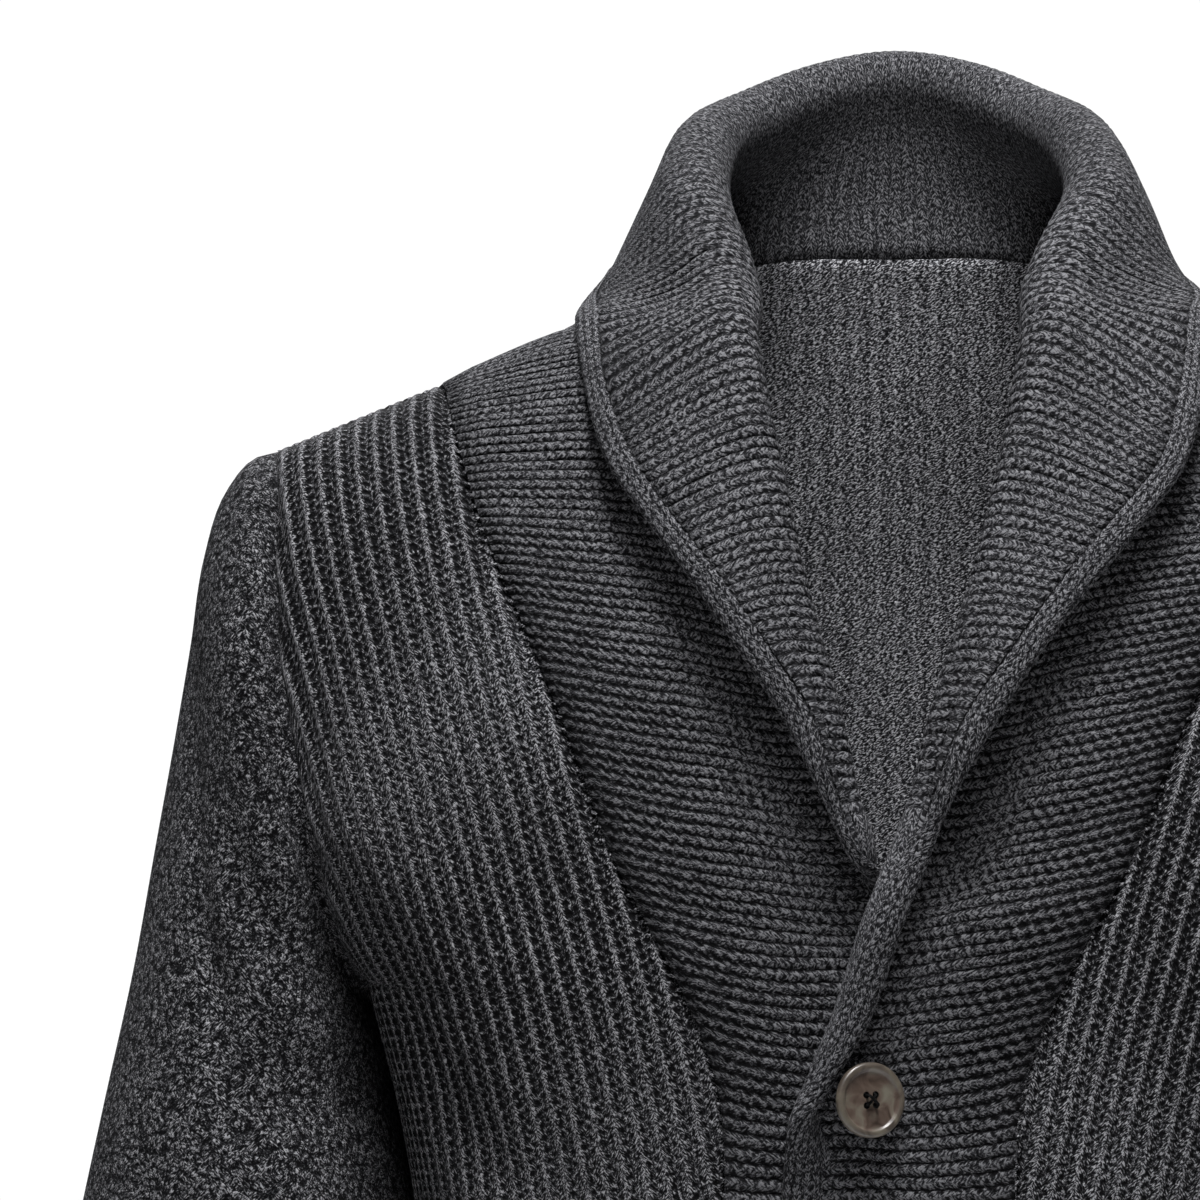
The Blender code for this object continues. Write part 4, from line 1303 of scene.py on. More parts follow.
    def build(self, materials: Sequence[bpy.types.Material]) -> None:
        """Make both sleeves.

        Args:
            materials: Knit of the outer and of the inner face.
        """
        for side, node in ((-1, "sleeve_right"), (1, "sleeve_left")):
            grid = self.grid(side)
            grid.name = f"{node}_knit"
            rows = len(grid.points)
            normals = grid.normals((side * 0.25, -0.012, -0.36))
            turn = np.repeat(np.linspace(0.0, 1.0, self.around + 1)[None, :], rows, axis=0)
            length = arc_length(grid.points, 0)
            scaled = [crease._replace(x0=crease.x0 * self.girth, x1=crease.x1 * self.girth)
                      for crease in self.creases]
            height = -trough(turn * self.girth, length, scaled) * smoothstep(0.004, 0.030, length)
            height *= fade_in(rows, 0.05)[::-1, None]
            height[:, -1] = height[:, 0]
            area = grid.area()
            grid.raise_by(height, normals)
            around = FULL_TURN * turn
            sink = self.form.armhole_sink((1.0 - np.cos(around)) / 2.0, length)
            grid.points[..., 1] += sink * (np.sin(around) > 0.0)
            sleeve = grid.build(materials, self.wall, -1.0, normals)
            hand_in(sleeve, [node], area)


# ---------------- collar and bands

class Station(NamedTuple):
    """One crossing of the strip on the chest: seam, fold and free edge."""

    seam_z: float
    fold_x: float
    fold_z: float
    edge_x: float
    edge_z: float
    roll: float
    start: float
    end: float
    lift: float
    rise: float


class Behind(NamedTuple):
    """One crossing of the strip behind the shoulder."""

    seam: tuple[float, float, float]
    middle: tuple[float, float, float]
    fold: tuple[float, float, float]
    edge: tuple[float, float, float]
    roll: float
    start: float
    end: float


def plain_band(lift: float, *heights: float) -> tuple[Station, ...]:
    """Stations of the flat band under the buttons, at a lift off the body."""
    return tuple(Station(z, -0.0150, z, -0.0310, z, 0, -90, -90, lift, 0) for z in heights)


@dataclass(frozen=True)
class CollarForm:
    """The strip that is band, then shawl collar, then band again."""

    body: BodyForm
    flat: float = -90.0             # an end angle that means no roll
    stand_steps: int = 10           # steps from the seam to the roll
    roll_steps: int = 9
    fall_steps: int = 8             # and from the roll to the edging
    overlap_from_x: float = 0.0505  # the bands part from the body between these
    overlap_full_x: float = 0.0360
    lean: float = 0.0040            # the roll leans to the left, fading behind the neck
    lean_depth: float = 0.060
    axis_y: float = 0.020           # the line that the strip faces away from
    axis_flat_z: float = -0.240
    axis_round_z: float = -0.150
    flat_run: float = 0.012
    edging_width: float = 0.0090
    edging_wide: float = 0.0125     # its width over the overlap
    wide_from_z: float = -0.200
    wide_full_z: float = -0.240
    least_fall: float = 0.0015      # what the edging always leaves of the fall
    right_half: tuple[Station, ...] = plain_band(
        -0.0027, -0.690, -0.600, -0.510, -0.420, -0.335) + (
        Station(-0.305, -0.0148, -0.305, -0.0305, -0.305, 0, -90, -90, -0.0027, 0),
        Station(-0.2925, -0.0140, -0.293, -0.0298, -0.293, 0, -90, -90, -0.0027, 0),
        Station(-0.280, -0.0130, -0.281, -0.0285, -0.281, 0, -90, -90, -0.0027, 0),
        Station(-0.255, -0.0092, -0.2570, -0.0235, -0.257, 0, -90, -90, -0.0027, 0),
        Station(-0.240, -0.0072, -0.2425, -0.0200, -0.2420, 0, -90, -90, -0.0027, 0),
        Station(-0.222, -0.0045, -0.2260, -0.0150, -0.2260, 0.0200, -90, -74, -0.0027, 0.0010),
        Station(-0.210, -0.0025, -0.2140, -0.0095, -0.2140, 0.0120, -90, -66, -0.0025, 0.0016),
        Station(-0.199, -0.0004, -0.2030, 0.0042, -0.2060, 0.0042, -90, 66, -0.0010, 0.0105),
        Station(-0.176, 0.0065, -0.1805, 0.0150, -0.1850, 0.0046, -92, 84, 0.0000, 0.0094),
        Station(-0.149, 0.0130, -0.1525, 0.0275, -0.1600, 0.0054, -95, 84, 0.0000, 0.0092),
        Station(-0.121, 0.0200, -0.1250, 0.0425, -0.1365, 0.0062, -97, 84, 0.0000, 0.0120),
        Station(-0.094, 0.0265, -0.0970, 0.0605, -0.1105, 0.0070, -99, 82, 0.0000, 0.0120),
        Station(-0.071, 0.0325, -0.0690, 0.0790, -0.0870, 0.0080, -101, 80, 0.0000, 0.0120),
        Station(-0.051, 0.0395, -0.0425, 0.0945, -0.0650, 0.0090, -104, 78, 0.0000, 0.0115),
        Station(-0.039, 0.0465, -0.0165, 0.1045, -0.0400, 0.0100, -108, 75, 0.0000, 0.0105),
    )
    left_half: tuple[Station, ...] = plain_band(0.0027, -0.690, -0.600, -0.510, -0.420) + (
        Station(-0.335, -0.0160, -0.335, -0.0308, -0.335, 0, -90, -90, 0.0027, 0),
        Station(-0.305, -0.0190, -0.306, -0.0286, -0.306, 0.0120, -90, -62, 0.0030, 0.0055),
        Station(-0.2925, -0.0222, -0.293, -0.0240, -0.293, 0.0048, -90, -10, 0.0034, 0.0130),
        Station(-0.280, -0.0200, -0.281, -0.0130, -0.281, 0.0045, -90, 44, 0.0040, 0.0130),
        Station(-0.255, -0.0110, -0.2565, 0.0010, -0.257, 0.0042, -90, 82, 0.0055, 0.0098),
        Station(-0.240, -0.0062, -0.2420, 0.0062, -0.2425, 0.0042, -90, 86, 0.0064, 0.0100),
        Station(-0.222, -0.0005, -0.2250, 0.0118, -0.2260, 0.0045, -90, 88, 0.0080, 0.0100),
        Station(-0.210, 0.0038, -0.2150, 0.0160, -0.2165, 0.0047, -90, 87, 0.0078, 0.0100),
        Station(-0.199, 0.0080, -0.2055, 0.0200, -0.2075, 0.0048, -90, 86, 0.0066, 0.0100),
        Station(-0.176, 0.0165, -0.1830, 0.0280, -0.1865, 0.0053, -92, 84, 0.0035, 0.0110),
        Station(-0.149, 0.0230, -0.1550, 0.0410, -0.1620, 0.0058, -95, 84, 0.0015, 0.0115),
        Station(-0.121, 0.0305, -0.1270, 0.0570, -0.1370, 0.0064, -97, 84, 0.0000, 0.0120),
        Station(-0.094, 0.0380, -0.0990, 0.0755, -0.1110, 0.0072, -99, 82, 0.0000, 0.0120),
        Station(-0.071, 0.0445, -0.0715, 0.0940, -0.0885, 0.0082, -101, 80, 0.0000, 0.0120),
        Station(-0.051, 0.0505, -0.0445, 0.1090, -0.0680, 0.0092, -104, 78, 0.0000, 0.0115),
        Station(-0.039, 0.0560, -0.0175, 0.1155, -0.0420, 0.0102, -108, 75, 0.0000, 0.0105),
    )
    back_half: tuple[Behind, ...] = (
        Behind((0.1615, 0.000, -0.0346), (0.1085, -0.014, -0.0157), (0.0540, -0.046, 0.0010),
               (0.1150, -0.024, -0.0138), 0.0106, -110, 72),
        Behind((0.1540, 0.016, -0.0312), (0.1080, -0.002, -0.0140), (0.0590, -0.034, 0.0135),
               (0.1160, -0.004, -0.0095), 0.0112, -112, 70),
        Behind((0.1380, 0.042, -0.0225), (0.1000, 0.030, -0.0060), (0.0735, 0.003, 0.0440),
               (0.1085, 0.041, 0.0002), 0.0120, -115, 66),
        Behind((0.1130, 0.066, -0.0095), (0.0885, 0.052, 0.0110), (0.0705, 0.040, 0.0660),
               (0.1040, 0.076, 0.0045), 0.0115, -118, 68),
        Behind((0.0800, 0.082, 0.0060), (0.0680, 0.075, 0.0330), (0.0540, 0.066, 0.0775),
               (0.0830, 0.0965, -0.0065), 0.0102, -122, 76),
        Behind((0.0420, 0.0905, 0.0145), (0.0380, 0.088, 0.0440), (0.0290, 0.084, 0.0885),
               (0.0430, 0.1060, -0.0110), 0.0096, -126, 82),
    )
    centre_back: Behind = Behind((0.0, 0.093, 0.0150), (0.0, 0.092, 0.0460), (0.0, 0.089, 0.0930),
                                 (0.0, 0.1085, -0.0120), 0.0094, -128, 84)

    def chest_crossing(self, station: Station, side: int) -> list[Vector]:
        """Place one station on the chest.

        Args:
            station: The station.
            side: -1 for the wearer's right, 1 for the left.

        Returns:
            Its seam, middle, fold and edge points.
        """
        body = self.body
        seam_x = float(body.seam_x(station.seam_z))
        seam = Vector((seam_x, float(body.front_y(seam_x, station.seam_z)), station.seam_z))
        fold_y = float(body.front_y(station.fold_x, station.fold_z)) - station.lift
        if station.end > self.flat:
            fold_y -= station.roll * (1.0 + sin(radians(min(0.0, station.end))))
        fold = Vector((station.fold_x, fold_y, station.fold_z))
        edge_y = float(body.front_y(station.edge_x, station.edge_z)) - station.lift - station.rise
        edge = Vector((station.edge_x, edge_y, station.edge_z))
        middle = seam.lerp(fold, 0.5)
        parted = float(smoothstep(0.0, 1.0, (self.overlap_from_x - middle.x)
                                  / (self.overlap_from_x - self.overlap_full_x)))
        middle.y = float(body.front_y(middle.x, middle.z)) - station.lift * parted
        return [Vector((side * p.x, p.y, p.z)) for p in (seam, middle, fold, edge)]

    def neck_crossing(self, station: Behind, side: int) -> list[Vector]:
        """Place one station behind the shoulder.

        Args:
            station: The station.
            side: -1 for the wearer's right, 1 for the left.

        Returns:
            Its seam, middle, fold and edge points.
        """
        still = [Vector((side * x, y, z)) for x, y, z in (station.seam, station.middle)]
        leaning = []
        for x, y, z in (station.fold, station.edge):
            shift = self.lean * (1.0 - float(smoothstep(0.0, self.lean_depth, y)))
            leaning.append(Vector((side * x + shift, y, z)))
        return still + leaning

    def crossings(self) -> list[tuple[list[Vector], Station | Behind]]:
        """Place every station from the right hem round the neck to the left hem.

        Returns:
            The four points of each station, and the station itself.
        """
        right: list[tuple[list[Vector], Station | Behind]] = []
        left: list[tuple[list[Vector], Station | Behind]] = []
        for side, stations, out in ((-1, self.right_half, right), (1, self.left_half, left)):
            out.extend((self.chest_crossing(s, side), s) for s in stations)
            out.extend((self.neck_crossing(s, side), s) for s in self.back_half)
        centre = (self.neck_crossing(self.centre_back, 1), self.centre_back)
        return right + [centre] + left[::-1]

    def crossing_curve(self, points: list[Vector], station: Station | Behind,
                       along: Vector) -> tuple[list[Vector], list[Vector], float]:
        """Run the strip's middle surface across one station.

        Args:
            points: Seam, middle, fold and edge.
            station: The crossing's roll and angles.
            along: Direction of the strip there.

        Returns:
            The points across, the edging's centre, across and outward
            directions, and the edging's width.
        """
        seam, middle, fold, edge = points
        round_share = float(smoothstep(self.axis_flat_z, self.axis_round_z, fold.z))
        outward = Vector((fold.x * round_share, fold.y - self.axis_y, 0.0))
        outward = (outward - along * outward.dot(along)).normalized()
        inward = along.cross(outward).normalized()
        if inward.dot(fold - seam) < 0:
            inward = -inward
        steps = self.roll_steps
        if station.end <= self.flat:
            inward = (fold - middle).normalized()
            start = fold - inward * self.flat_run
            arc = [start.lerp(fold, k / steps) for k in range(steps + 1)]
            leave = inward
            arrive = inward
        else:
            peak = radians(min(0.0, station.end))
            centre = fold - (inward * cos(peak) + outward * sin(peak)) * station.roll
            first = radians(station.start)
            last = radians(station.end)
            arc = []
            for k in range(steps + 1):
                turn = first + (last - first) * k / steps
                arc.append(centre + (inward * cos(turn) + outward * sin(turn)) * station.roll)
            arrive = outward * cos(first) - inward * sin(first)
            leave = outward * cos(last) - inward * sin(last)
        lead = self.body.gap / (middle - seam).length
        bend = (arc[0] - seam).normalized() * (arc[0] - middle).length
        stand = []
        for k in range(self.stand_steps):
            share = 2.0 * k / self.stand_steps
            if share <= 1.0:
                stand.append(hermite(seam, middle - seam, middle, bend, max(lead, share)))
            else:
                reach = arrive * (arc[0] - middle).length
                stand.append(hermite(middle, bend, arc[0], reach, share - 1.0))
        span = (edge - arc[-1]).length
        wide = 1.0 - float(smoothstep(self.wide_full_z, self.wide_from_z, edge.z))
        room = min(self.edging_width + (self.edging_wide - self.edging_width) * wide,
                   span - self.least_fall)
        pull = leave * span
        push = edge - arc[-1]
        # the fall ends where the edging's width is left over
        near = 0.0
        stop = 1.0
        while stop - near > 1e-5:
            halfway = 0.5 * (near + stop)
            reached = hermite(arc[-1], pull, edge, push, halfway)
            if (edge - reached).length > room + self.body.gap:
                near = halfway
            else:
                stop = halfway
        fall = [hermite(arc[-1], pull, edge, push, near * k / self.fall_steps)
                for k in range(1, self.fall_steps + 1)]
        across = (edge - fall[-1]).normalized()
        centre = edge - across * (0.5 * room)
        normal = across.cross(along).normalized()
        return stand + arc + fall, [centre, across, normal], room

    def rows(self) -> tuple[np.ndarray, np.ndarray, np.ndarray]:
        """Run the strip across every station.

        Returns:
            The strip's rows, its edging's frames and the edging's widths.
        """
        crossings = self.crossings()
        rows, frames, rooms = [], [], []
        for i, (points, station) in enumerate(crossings):
            before = crossings[max(0, i - 1)][0][2]
            after = crossings[min(len(crossings) - 1, i + 1)][0][2]
            along = (after - before).normalized()
            row, edging, room = self.crossing_curve(points, station, along)
            rows.append([tuple(p) for p in row])
            frames.append([tuple(p) for p in edging])
            rooms.append(room)
        return np.array(rows), np.array(frames), np.array(rooms)


@dataclass
class ShawlCollar:
    """Collar and bands in one ribbed strip, with its tubular edging."""

    form: CollarForm
    wall: float = 0.0038
    rib: float = 0.0047         # from one rib to the next along the strip
    bead: float = 0.0044        # length of a stitch along a rib
    ridge: float = 0.00042      # height of the ribs
    closer: float = 0.0003      # round the neck the ribs are packed this much closer
    sag: float = 3.1            # ribs that a rib drops by between the seam and the middle
    tilt: float = 1.4           # and rises by again, so that it lies level near the middle
    # how far the ribs turn on the fall, at each of these heights
    level_z: tuple[float, ...] = (
        -0.230, -0.200, -0.150, -0.122, -0.100, -0.073, -0.052, -0.031, 0.0)
    level: tuple[float, ...] = (0.00, -0.18, -0.32, -0.35, -0.18, -0.04, 0.02, 0.12, 0.0)
    rib_samples: float = 5.1    # rows of points to a rib
    band_samples: float = 3.4   # and on the plain bands
    dense_above_z: float = -0.345
    # heights between which each change of the strip comes in
    closer_z: tuple[float, float] = (-0.25, -0.15)
    sag_z: tuple[float, float] = (-0.345, -0.25)
    sag_end_z: tuple[float, float] = (-0.14, -0.04)
    v_z: tuple[float, float] = (-0.196, -0.180)             # the foot of the V
    both_sides_z: tuple[float, float] = (-0.222, -0.212)
    unrolled_z: tuple[float, float] = (-0.320, -0.296)      # the band's edge is flat below
    sprung_z: tuple[float, float] = (-0.205, -0.165)
    sprung_end_z: tuple[float, float] = (-0.075, -0.020)
    lapped_z: tuple[float, float] = (-0.345, -0.300)
    lapped_end_z: tuple[float, float] = (-0.208, -0.186)
    behind_y: tuple[float, float] = (-0.055, 0.045)         # and how far back the knit is finer
    wave: float = 0.0009        # slow waves along the strip
    wave_run: float = 0.031
    seam_dip: float = 0.0018    # the edge turns in to its seam
    seam_reach: float = 0.0030
    edging_thickness: float = 0.0056
    edging_wall: float = 0.0012
    edging_sides: int = 20
    edging_step: float = 0.0016
    edging_wale: float = 0.0031
    edging_stitch: float = 0.0042
    stand_off: float = 0.0085   # the falls spring forward off the chest at their edge
    hold_over: float = 0.0012   # the tube grips the end of the ribs
    lap_spread: float = 0.0034  # and spreads and fills out over the overlap
    lap_loft: float = 0.0022
    lump: float = 0.00016       # the tube's stitches
    swell: float = 0.00025      # and its slow thick and thin
    swell_run: float = 0.013

    def sprung(self, z: np.ndarray) -> np.ndarray:
        """How far the falls' edge springs forward at each height."""
        upper = 1.0 - smoothstep(*self.sprung_end_z, z)
        return self.stand_off * smoothstep(*self.sprung_z, z) * upper

    def lay_out(self) -> tuple[np.ndarray, np.ndarray, np.ndarray, np.ndarray, np.ndarray]:
        """Space the strip's rows by its ribs.

        Returns:
            Places of the stations and of the rows along the strip, the strip's
            points at the stations, and the edging's frames and widths there.
        """
        rows, frames, rooms = self.form.rows()
        seam_run = arc_length(rows[:, 3], 0)
        fold_run = arc_length(rows[:, self.form.stand_steps + 4], 0)
        keys = 0.5 * (seam_run + fold_run)
        fine = np.linspace(0.0, keys[-1], 4001)
        height = through_points(rows[:, 3, 2], keys, fine)
        step = self.rib / np.where(height > self.dense_above_z, self.rib_samples,
                                   self.band_samples)
        density = running(np.diff(fine) / (0.5 * (step[1:] + step[:-1])))
        dense = np.interp(np.linspace(0.0, density[-1], int(density[-1])), density, fine)
        return keys, dense, rows, frames, rooms

    def count_ribs(self, dense: np.ndarray, points: np.ndarray, across: np.ndarray) -> np.ndarray:
        """Number the ribs at every point of the strip.

        Args:
            dense: Places of the rows along the strip.
            points: The strip's points.
            across: Distance of each point from the seam.

        Returns:
            The rib count at each point.
        """
        spacing = self.rib - self.closer * smoothstep(*self.closer_z, points[:, 3, 2])
        ribs = running(np.diff(dense) * 2.0 / (spacing[1:] + spacing[:-1]))[:, None]
        fold = self.form.stand_steps + self.form.roll_steps // 2
        fold_at = across[:, fold:fold + 1]
        # across the chest the ribs sag from the seam towards the middle
        from_fold = np.clip(0.8 - across / fold_at, 0.0, 0.8) / 0.8
        chest = smoothstep(*self.sag_z, points[..., 2])
        chest = chest * (1.0 - smoothstep(*self.sag_end_z, points[..., 2]))
        sag = (self.sag * from_fold ** 2 - self.tilt * from_fold) * chest
        # on the fall they turn level lower down and steeper near the shoulder
        level = np.interp(points[:, fold, 2], self.level_z, self.level)[:, None]
        turned = level * np.maximum(across - fold_at, 0.0) / self.rib
        upward = np.sign(0.5 * dense[-1] - dense)[:, None]
        return ribs + upward * (turned - sag)

    def build(self, rib_knit: bpy.types.Material, turned_knit: bpy.types.Material,
              tube_knit: bpy.types.Material) -> None:
        """Make the strip and its edging.

        Args:
            rib_knit: Knit of the strip's outer face.
            turned_knit: Knit of its inner face, which the fall turns outwards.
            tube_knit: Knit of the edging.
        """
        keys, dense, rows, frames, rooms = self.lay_out()
        points = through_points(rows, keys, dense)
        across = arc_length(points, 1)
        ribs = self.count_ribs(dense, points, across)
        roll_at = float(self.form.stand_steps)
        fall_at = roll_at + self.form.roll_steps
        column = np.arange(float(points.shape[1]))[None, :]
        depth, z = points[..., 1], points[..., 2]
        # finer, flatter knit on the stand and over the roll behind the neck
        behind = smoothstep(*self.behind_y, depth)
        # where the fronts overlap only smooth edging shows past the roll
        under_v = 1.0 - smoothstep(*self.v_z, z)
        past_roll = smoothstep(roll_at - 1.0, roll_at + 2.5, column)
        left_side = (dense > 0.5 * keys[-1])[:, None]
        left_side = np.maximum(left_side, smoothstep(*self.both_sides_z, z))
        smooth = past_roll * under_v * smoothstep(*self.unrolled_z, z) * left_side
        relief = (1.0 - 0.72 * behind) * (1.0 - smooth)
        grid = ClothGrid("shawl_collar_rib", points, ribs, across / self.bead, relief)
        grid.patch = (smooth > 0.35)[:-1, :-1]
        run = np.repeat(dense[:, None], points.shape[1], axis=1)
        grid.patch_uv = np.stack([across / self.edging_wale, run / self.edging_stitch], axis=-1)
        normals = grid.normals((0.0, 0.0, -0.30))
        # the ribs are not quite even
        uneven = 1.0 + 0.25 * np.sin(0.9 * ribs + 0.26 * across / self.bead)
        height = self.ridge * np.cos(FULL_TURN * ribs) * relief * uneven
        soft = self.wave * np.sin(dense / self.wave_run)[:, None]
        soft = soft * np.sin(pi * column / column.max())
        soft = soft - self.seam_dip * np.exp(-(across / self.seam_reach) ** 2)
        area = grid.area()
        grid.raise_by(height + soft * (1.0 - 0.6 * behind), normals)
        grid.points[..., 1] -= self.sprung(z) * smoothstep(fall_at, column.max(), column)
        strip = grid.build([rib_knit, turned_knit, tube_knit], self.wall, 0.0, normals)
        hand_in(strip, ["shawl_collar"], area)
        self.build_edging(keys, frames, rooms, tube_knit)

    def build_edging(self, keys: np.ndarray, frames: np.ndarray, rooms: np.ndarray,
                     material: bpy.types.Material) -> None:
        """Make the knitted tube along the strip's free edge.

        Args:
            keys: Places of the stations along the strip.
            frames: The tube's centre, across and outward directions there.
            rooms: Its width there.
            material: Its knit.
        """
        dense = np.linspace(0.0, keys[-1], int(keys[-1] / self.edging_step))
        steady = through_points(frames, keys, dense)
        centre = steady[:, 0]
        width = through_points(rooms, keys, dense)
        thickness = np.full(width.shape, self.edging_thickness)
        # over the overlap the tube is fuller, and spreads towards the strip
        lapped = smoothstep(*self.lapped_z, centre[:, 2]) * (dense > 0.5 * keys[-1])
        lapped = lapped * (1.0 - smoothstep(*self.lapped_end_z, centre[:, 2]))
        spread = self.hold_over + self.lap_spread * lapped
        width = width + spread
        thickness = thickness + self.lap_loft * lapped
        centre = centre - steady[:, 1] * (0.5 * spread)[:, None]
        centre[:, 1] -= self.sprung(centre[:, 2])
        along = unit(np.gradient(centre, axis=0))
        across = unit(steady[:, 1] - along * np.sum(steady[:, 1] * along, axis=-1, keepdims=True))
        normal = unit(np.cross(across, along))
        turn = np.linspace(0.0, FULL_TURN, self.edging_sides + 1)
        flatten = np.abs(np.cos(turn)) ** 0.85 * np.sign(np.cos(turn))
        wide = 0.5 * width[:, None] * flatten
        thick = 0.5 * thickness[:, None] * np.sin(turn)[None, :]
        points = (centre[:, None] + across[:, None] * wide[..., None]
                  + normal[:, None] * thick[..., None])
        points[:, -1] = points[:, 0]
        length = arc_length(centre, 0)
        wale = arc_length(points, 1) / self.edging_wale
        course = np.repeat((length / self.edging_stitch)[:, None], wale.shape[1], axis=1)
        grid = ClothGrid("collar_edging_knit", points, wale, course, np.ones(wale.shape),
                         closed=True)
        out = unit(points - centre[:, None])
        lump = self.lump * np.sin(FULL_TURN * course + pi * wale)
        lump = lump + self.swell * np.sin(length / self.swell_run)[:, None]
        lump[:, -1] = lump[:, 0]
        grid.raise_by(lump, out)
        area = grid.area()
        tube = grid.build([material, material], self.edging_wall, -1.0, out)
        hand_in(tube, ["collar_edging"], area)


# ---------------- buttons

@dataclass
class Buttons:
    """Five four-hole horn buttons and the thread that holds them."""

    form: BodyForm
    top_z: float = -0.287
    pitch: float = 0.090
    count: int = 5
    radius: float = 0.0130
    thickness: float = 0.0032
    dish: float = 0.0104            # radius of the dished middle
    dish_depth: float = 0.0007
    hole_radius: float = 0.0012
    hole_offset: float = 0.0018
    first_off: float = 0.0128       # from the body to its underside, over the rolled edge
    first_turn: float = 30.0        # degrees that the pull of the cloth turns it by
    first_nod: float = 85.0
    others_off: float = 0.0063
    steps: int = 96

    def place(self, index: int) -> Matrix:
        """Find where a button sits.

        Args:
            index: Which button, from 0 at the top.

        Returns:
            A frame at the middle of its underside.
        """
        off, turn, nod = self.others_off, 0.0, 90.0
        if index == 0:
            off, turn, nod = self.first_off, self.first_turn, self.first_nod
        z = self.top_z - self.pitch * index
        y = float(self.form.front_y(0.0, z)) - off
        return (Matrix.Translation((0.0, y, z)) @ Matrix.Rotation(radians(turn), 4, "Z")
                @ Matrix.Rotation(radians(nod), 4, "X"))

    def turned(self) -> bmesh.types.BMesh:
        """Turn one blank on the lathe, its underside at zero.

        Returns:
            The blank, still without holes.
        """
        top = self.thickness
        low = top - self.dish_depth
        out, lip = self.radius, self.dish
        profile = (
            (0.0, 0.0), (out - 0.0012, 0.0), (out - 0.0004, 0.0003), (out, 0.0010),
            (out, top - 0.0010), (out - 0.00025, top - 0.0004), (out - 0.0008, top),
            (lip + 0.0006, top), (lip + 0.0002, top - 0.00015), (lip, top - 0.0005),
            (lip - 0.0003, low - 0.0001), (lip - 0.0009, low - 0.0003),
            (0.0055, low - 0.0002), (0.0, low),
        )
        bm = bmesh.new()
        verts = [bm.verts.new((x, 0.0, z)) for x, z in profile]
        edges = [bm.edges.new(pair) for pair in zip(verts, verts[1:])]
        bmesh.ops.spin(bm, geom=verts + edges, cent=(0, 0, 0), axis=(0, 0, 1), angle=FULL_TURN,
                       steps=self.steps, use_merge=True)
        bmesh.ops.remove_doubles(bm, verts=bm.verts[:], dist=1e-6)
        bmesh.ops.recalc_face_normals(bm, faces=bm.faces[:])
        return bm

    def drills(self) -> bmesh.types.BMesh:
        """Make the four rods that cut the holes.

        Returns:
            The rods, in one shape.
        """
        bm = bmesh.new()
        for sx in (-1, 1):
            for sy in (-1, 1):
                middle = Matrix.Translation((sx * self.hole_offset, sy * self.hole_offset,
                                             self.thickness / 2.0))
                bmesh.ops.create_cone(bm, cap_ends=True, segments=24, radius1=self.hole_radius,
                                      radius2=self.hole_radius, depth=3.0 * self.thickness,
                                      matrix=middle)
        return bm

    def build(self, dish: bpy.types.Material, rim: bpy.types.Material,
              painted_bore_shade: bpy.types.Material) -> None:
        """Turn the buttons and drill their holes.

        Args:
            dish: Horn of the polished face.
            rim: Horn of the rim.
            painted_bore_shade: Horn in the holes' shade.
        """
        for index in range(self.count):
            place = self.place(index)
            button = to_object(f"button_{index + 1}_horn", self.turned(), dish, place)
            cutter = to_object(f"drill_{index + 1}", self.drills(), dish, place)
            cut = button.modifiers.new("holes", "BOOLEAN")
            cut.object = cutter
            cut.operation = "DIFFERENCE"
            cut.solver = "EXACT"
            drilled = bpy.data.meshes.new_from_object(
                button.evaluated_get(bpy.context.evaluated_depsgraph_get()))
            button.modifiers.clear()
            button.data = drilled
            bpy.data.objects.remove(cutter, do_unlink=True)
            drilled.materials.append(rim)
            drilled.materials.append(painted_bore_shade)
            drilled.shade_smooth()
            drilled.set_sharp_from_angle(angle=radians(40.0))
            back_to_flat = place.inverted()
            for face in drilled.polygons:
                flat = back_to_flat @ face.center
                if flat.xy.length > self.dish + 0.0002:
                    face.material_index = 1
                # the holes' walls take the near-black horn, painted shade for the inside of the
                # holes
                to_hole = Vector((abs(flat.x), abs(flat.y))) - Vector((self.hole_offset,) * 2)
                if to_hole.length < self.hole_radius * 1.01:
                    face.material_index = 2
            hand_in(button, [f"button_{index + 1}"])

    def dress_threads(self, material: bpy.types.Material) -> None:
        """Give the sewing thread its finish.

        Args:
            material: The finish.
        """
        for index in range(self.count):
            for name in ("a", "b"):
                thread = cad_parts[f"button_thread_{index + 1}{name}"]
                for slot in thread.material_slots:
                    slot.material = material


# ---------------- studio

class Lamp(NamedTuple):
    """One lamp: a soft square, or a narrow beam where it has a cone."""

    name: str
    place: tuple[float, float, float]
    aim: tuple[float, float, float]
    size: float                 # side of a square, radius of a beam's source
    watts: float
    cone: float = 0.0           # degrees that a beam spreads by


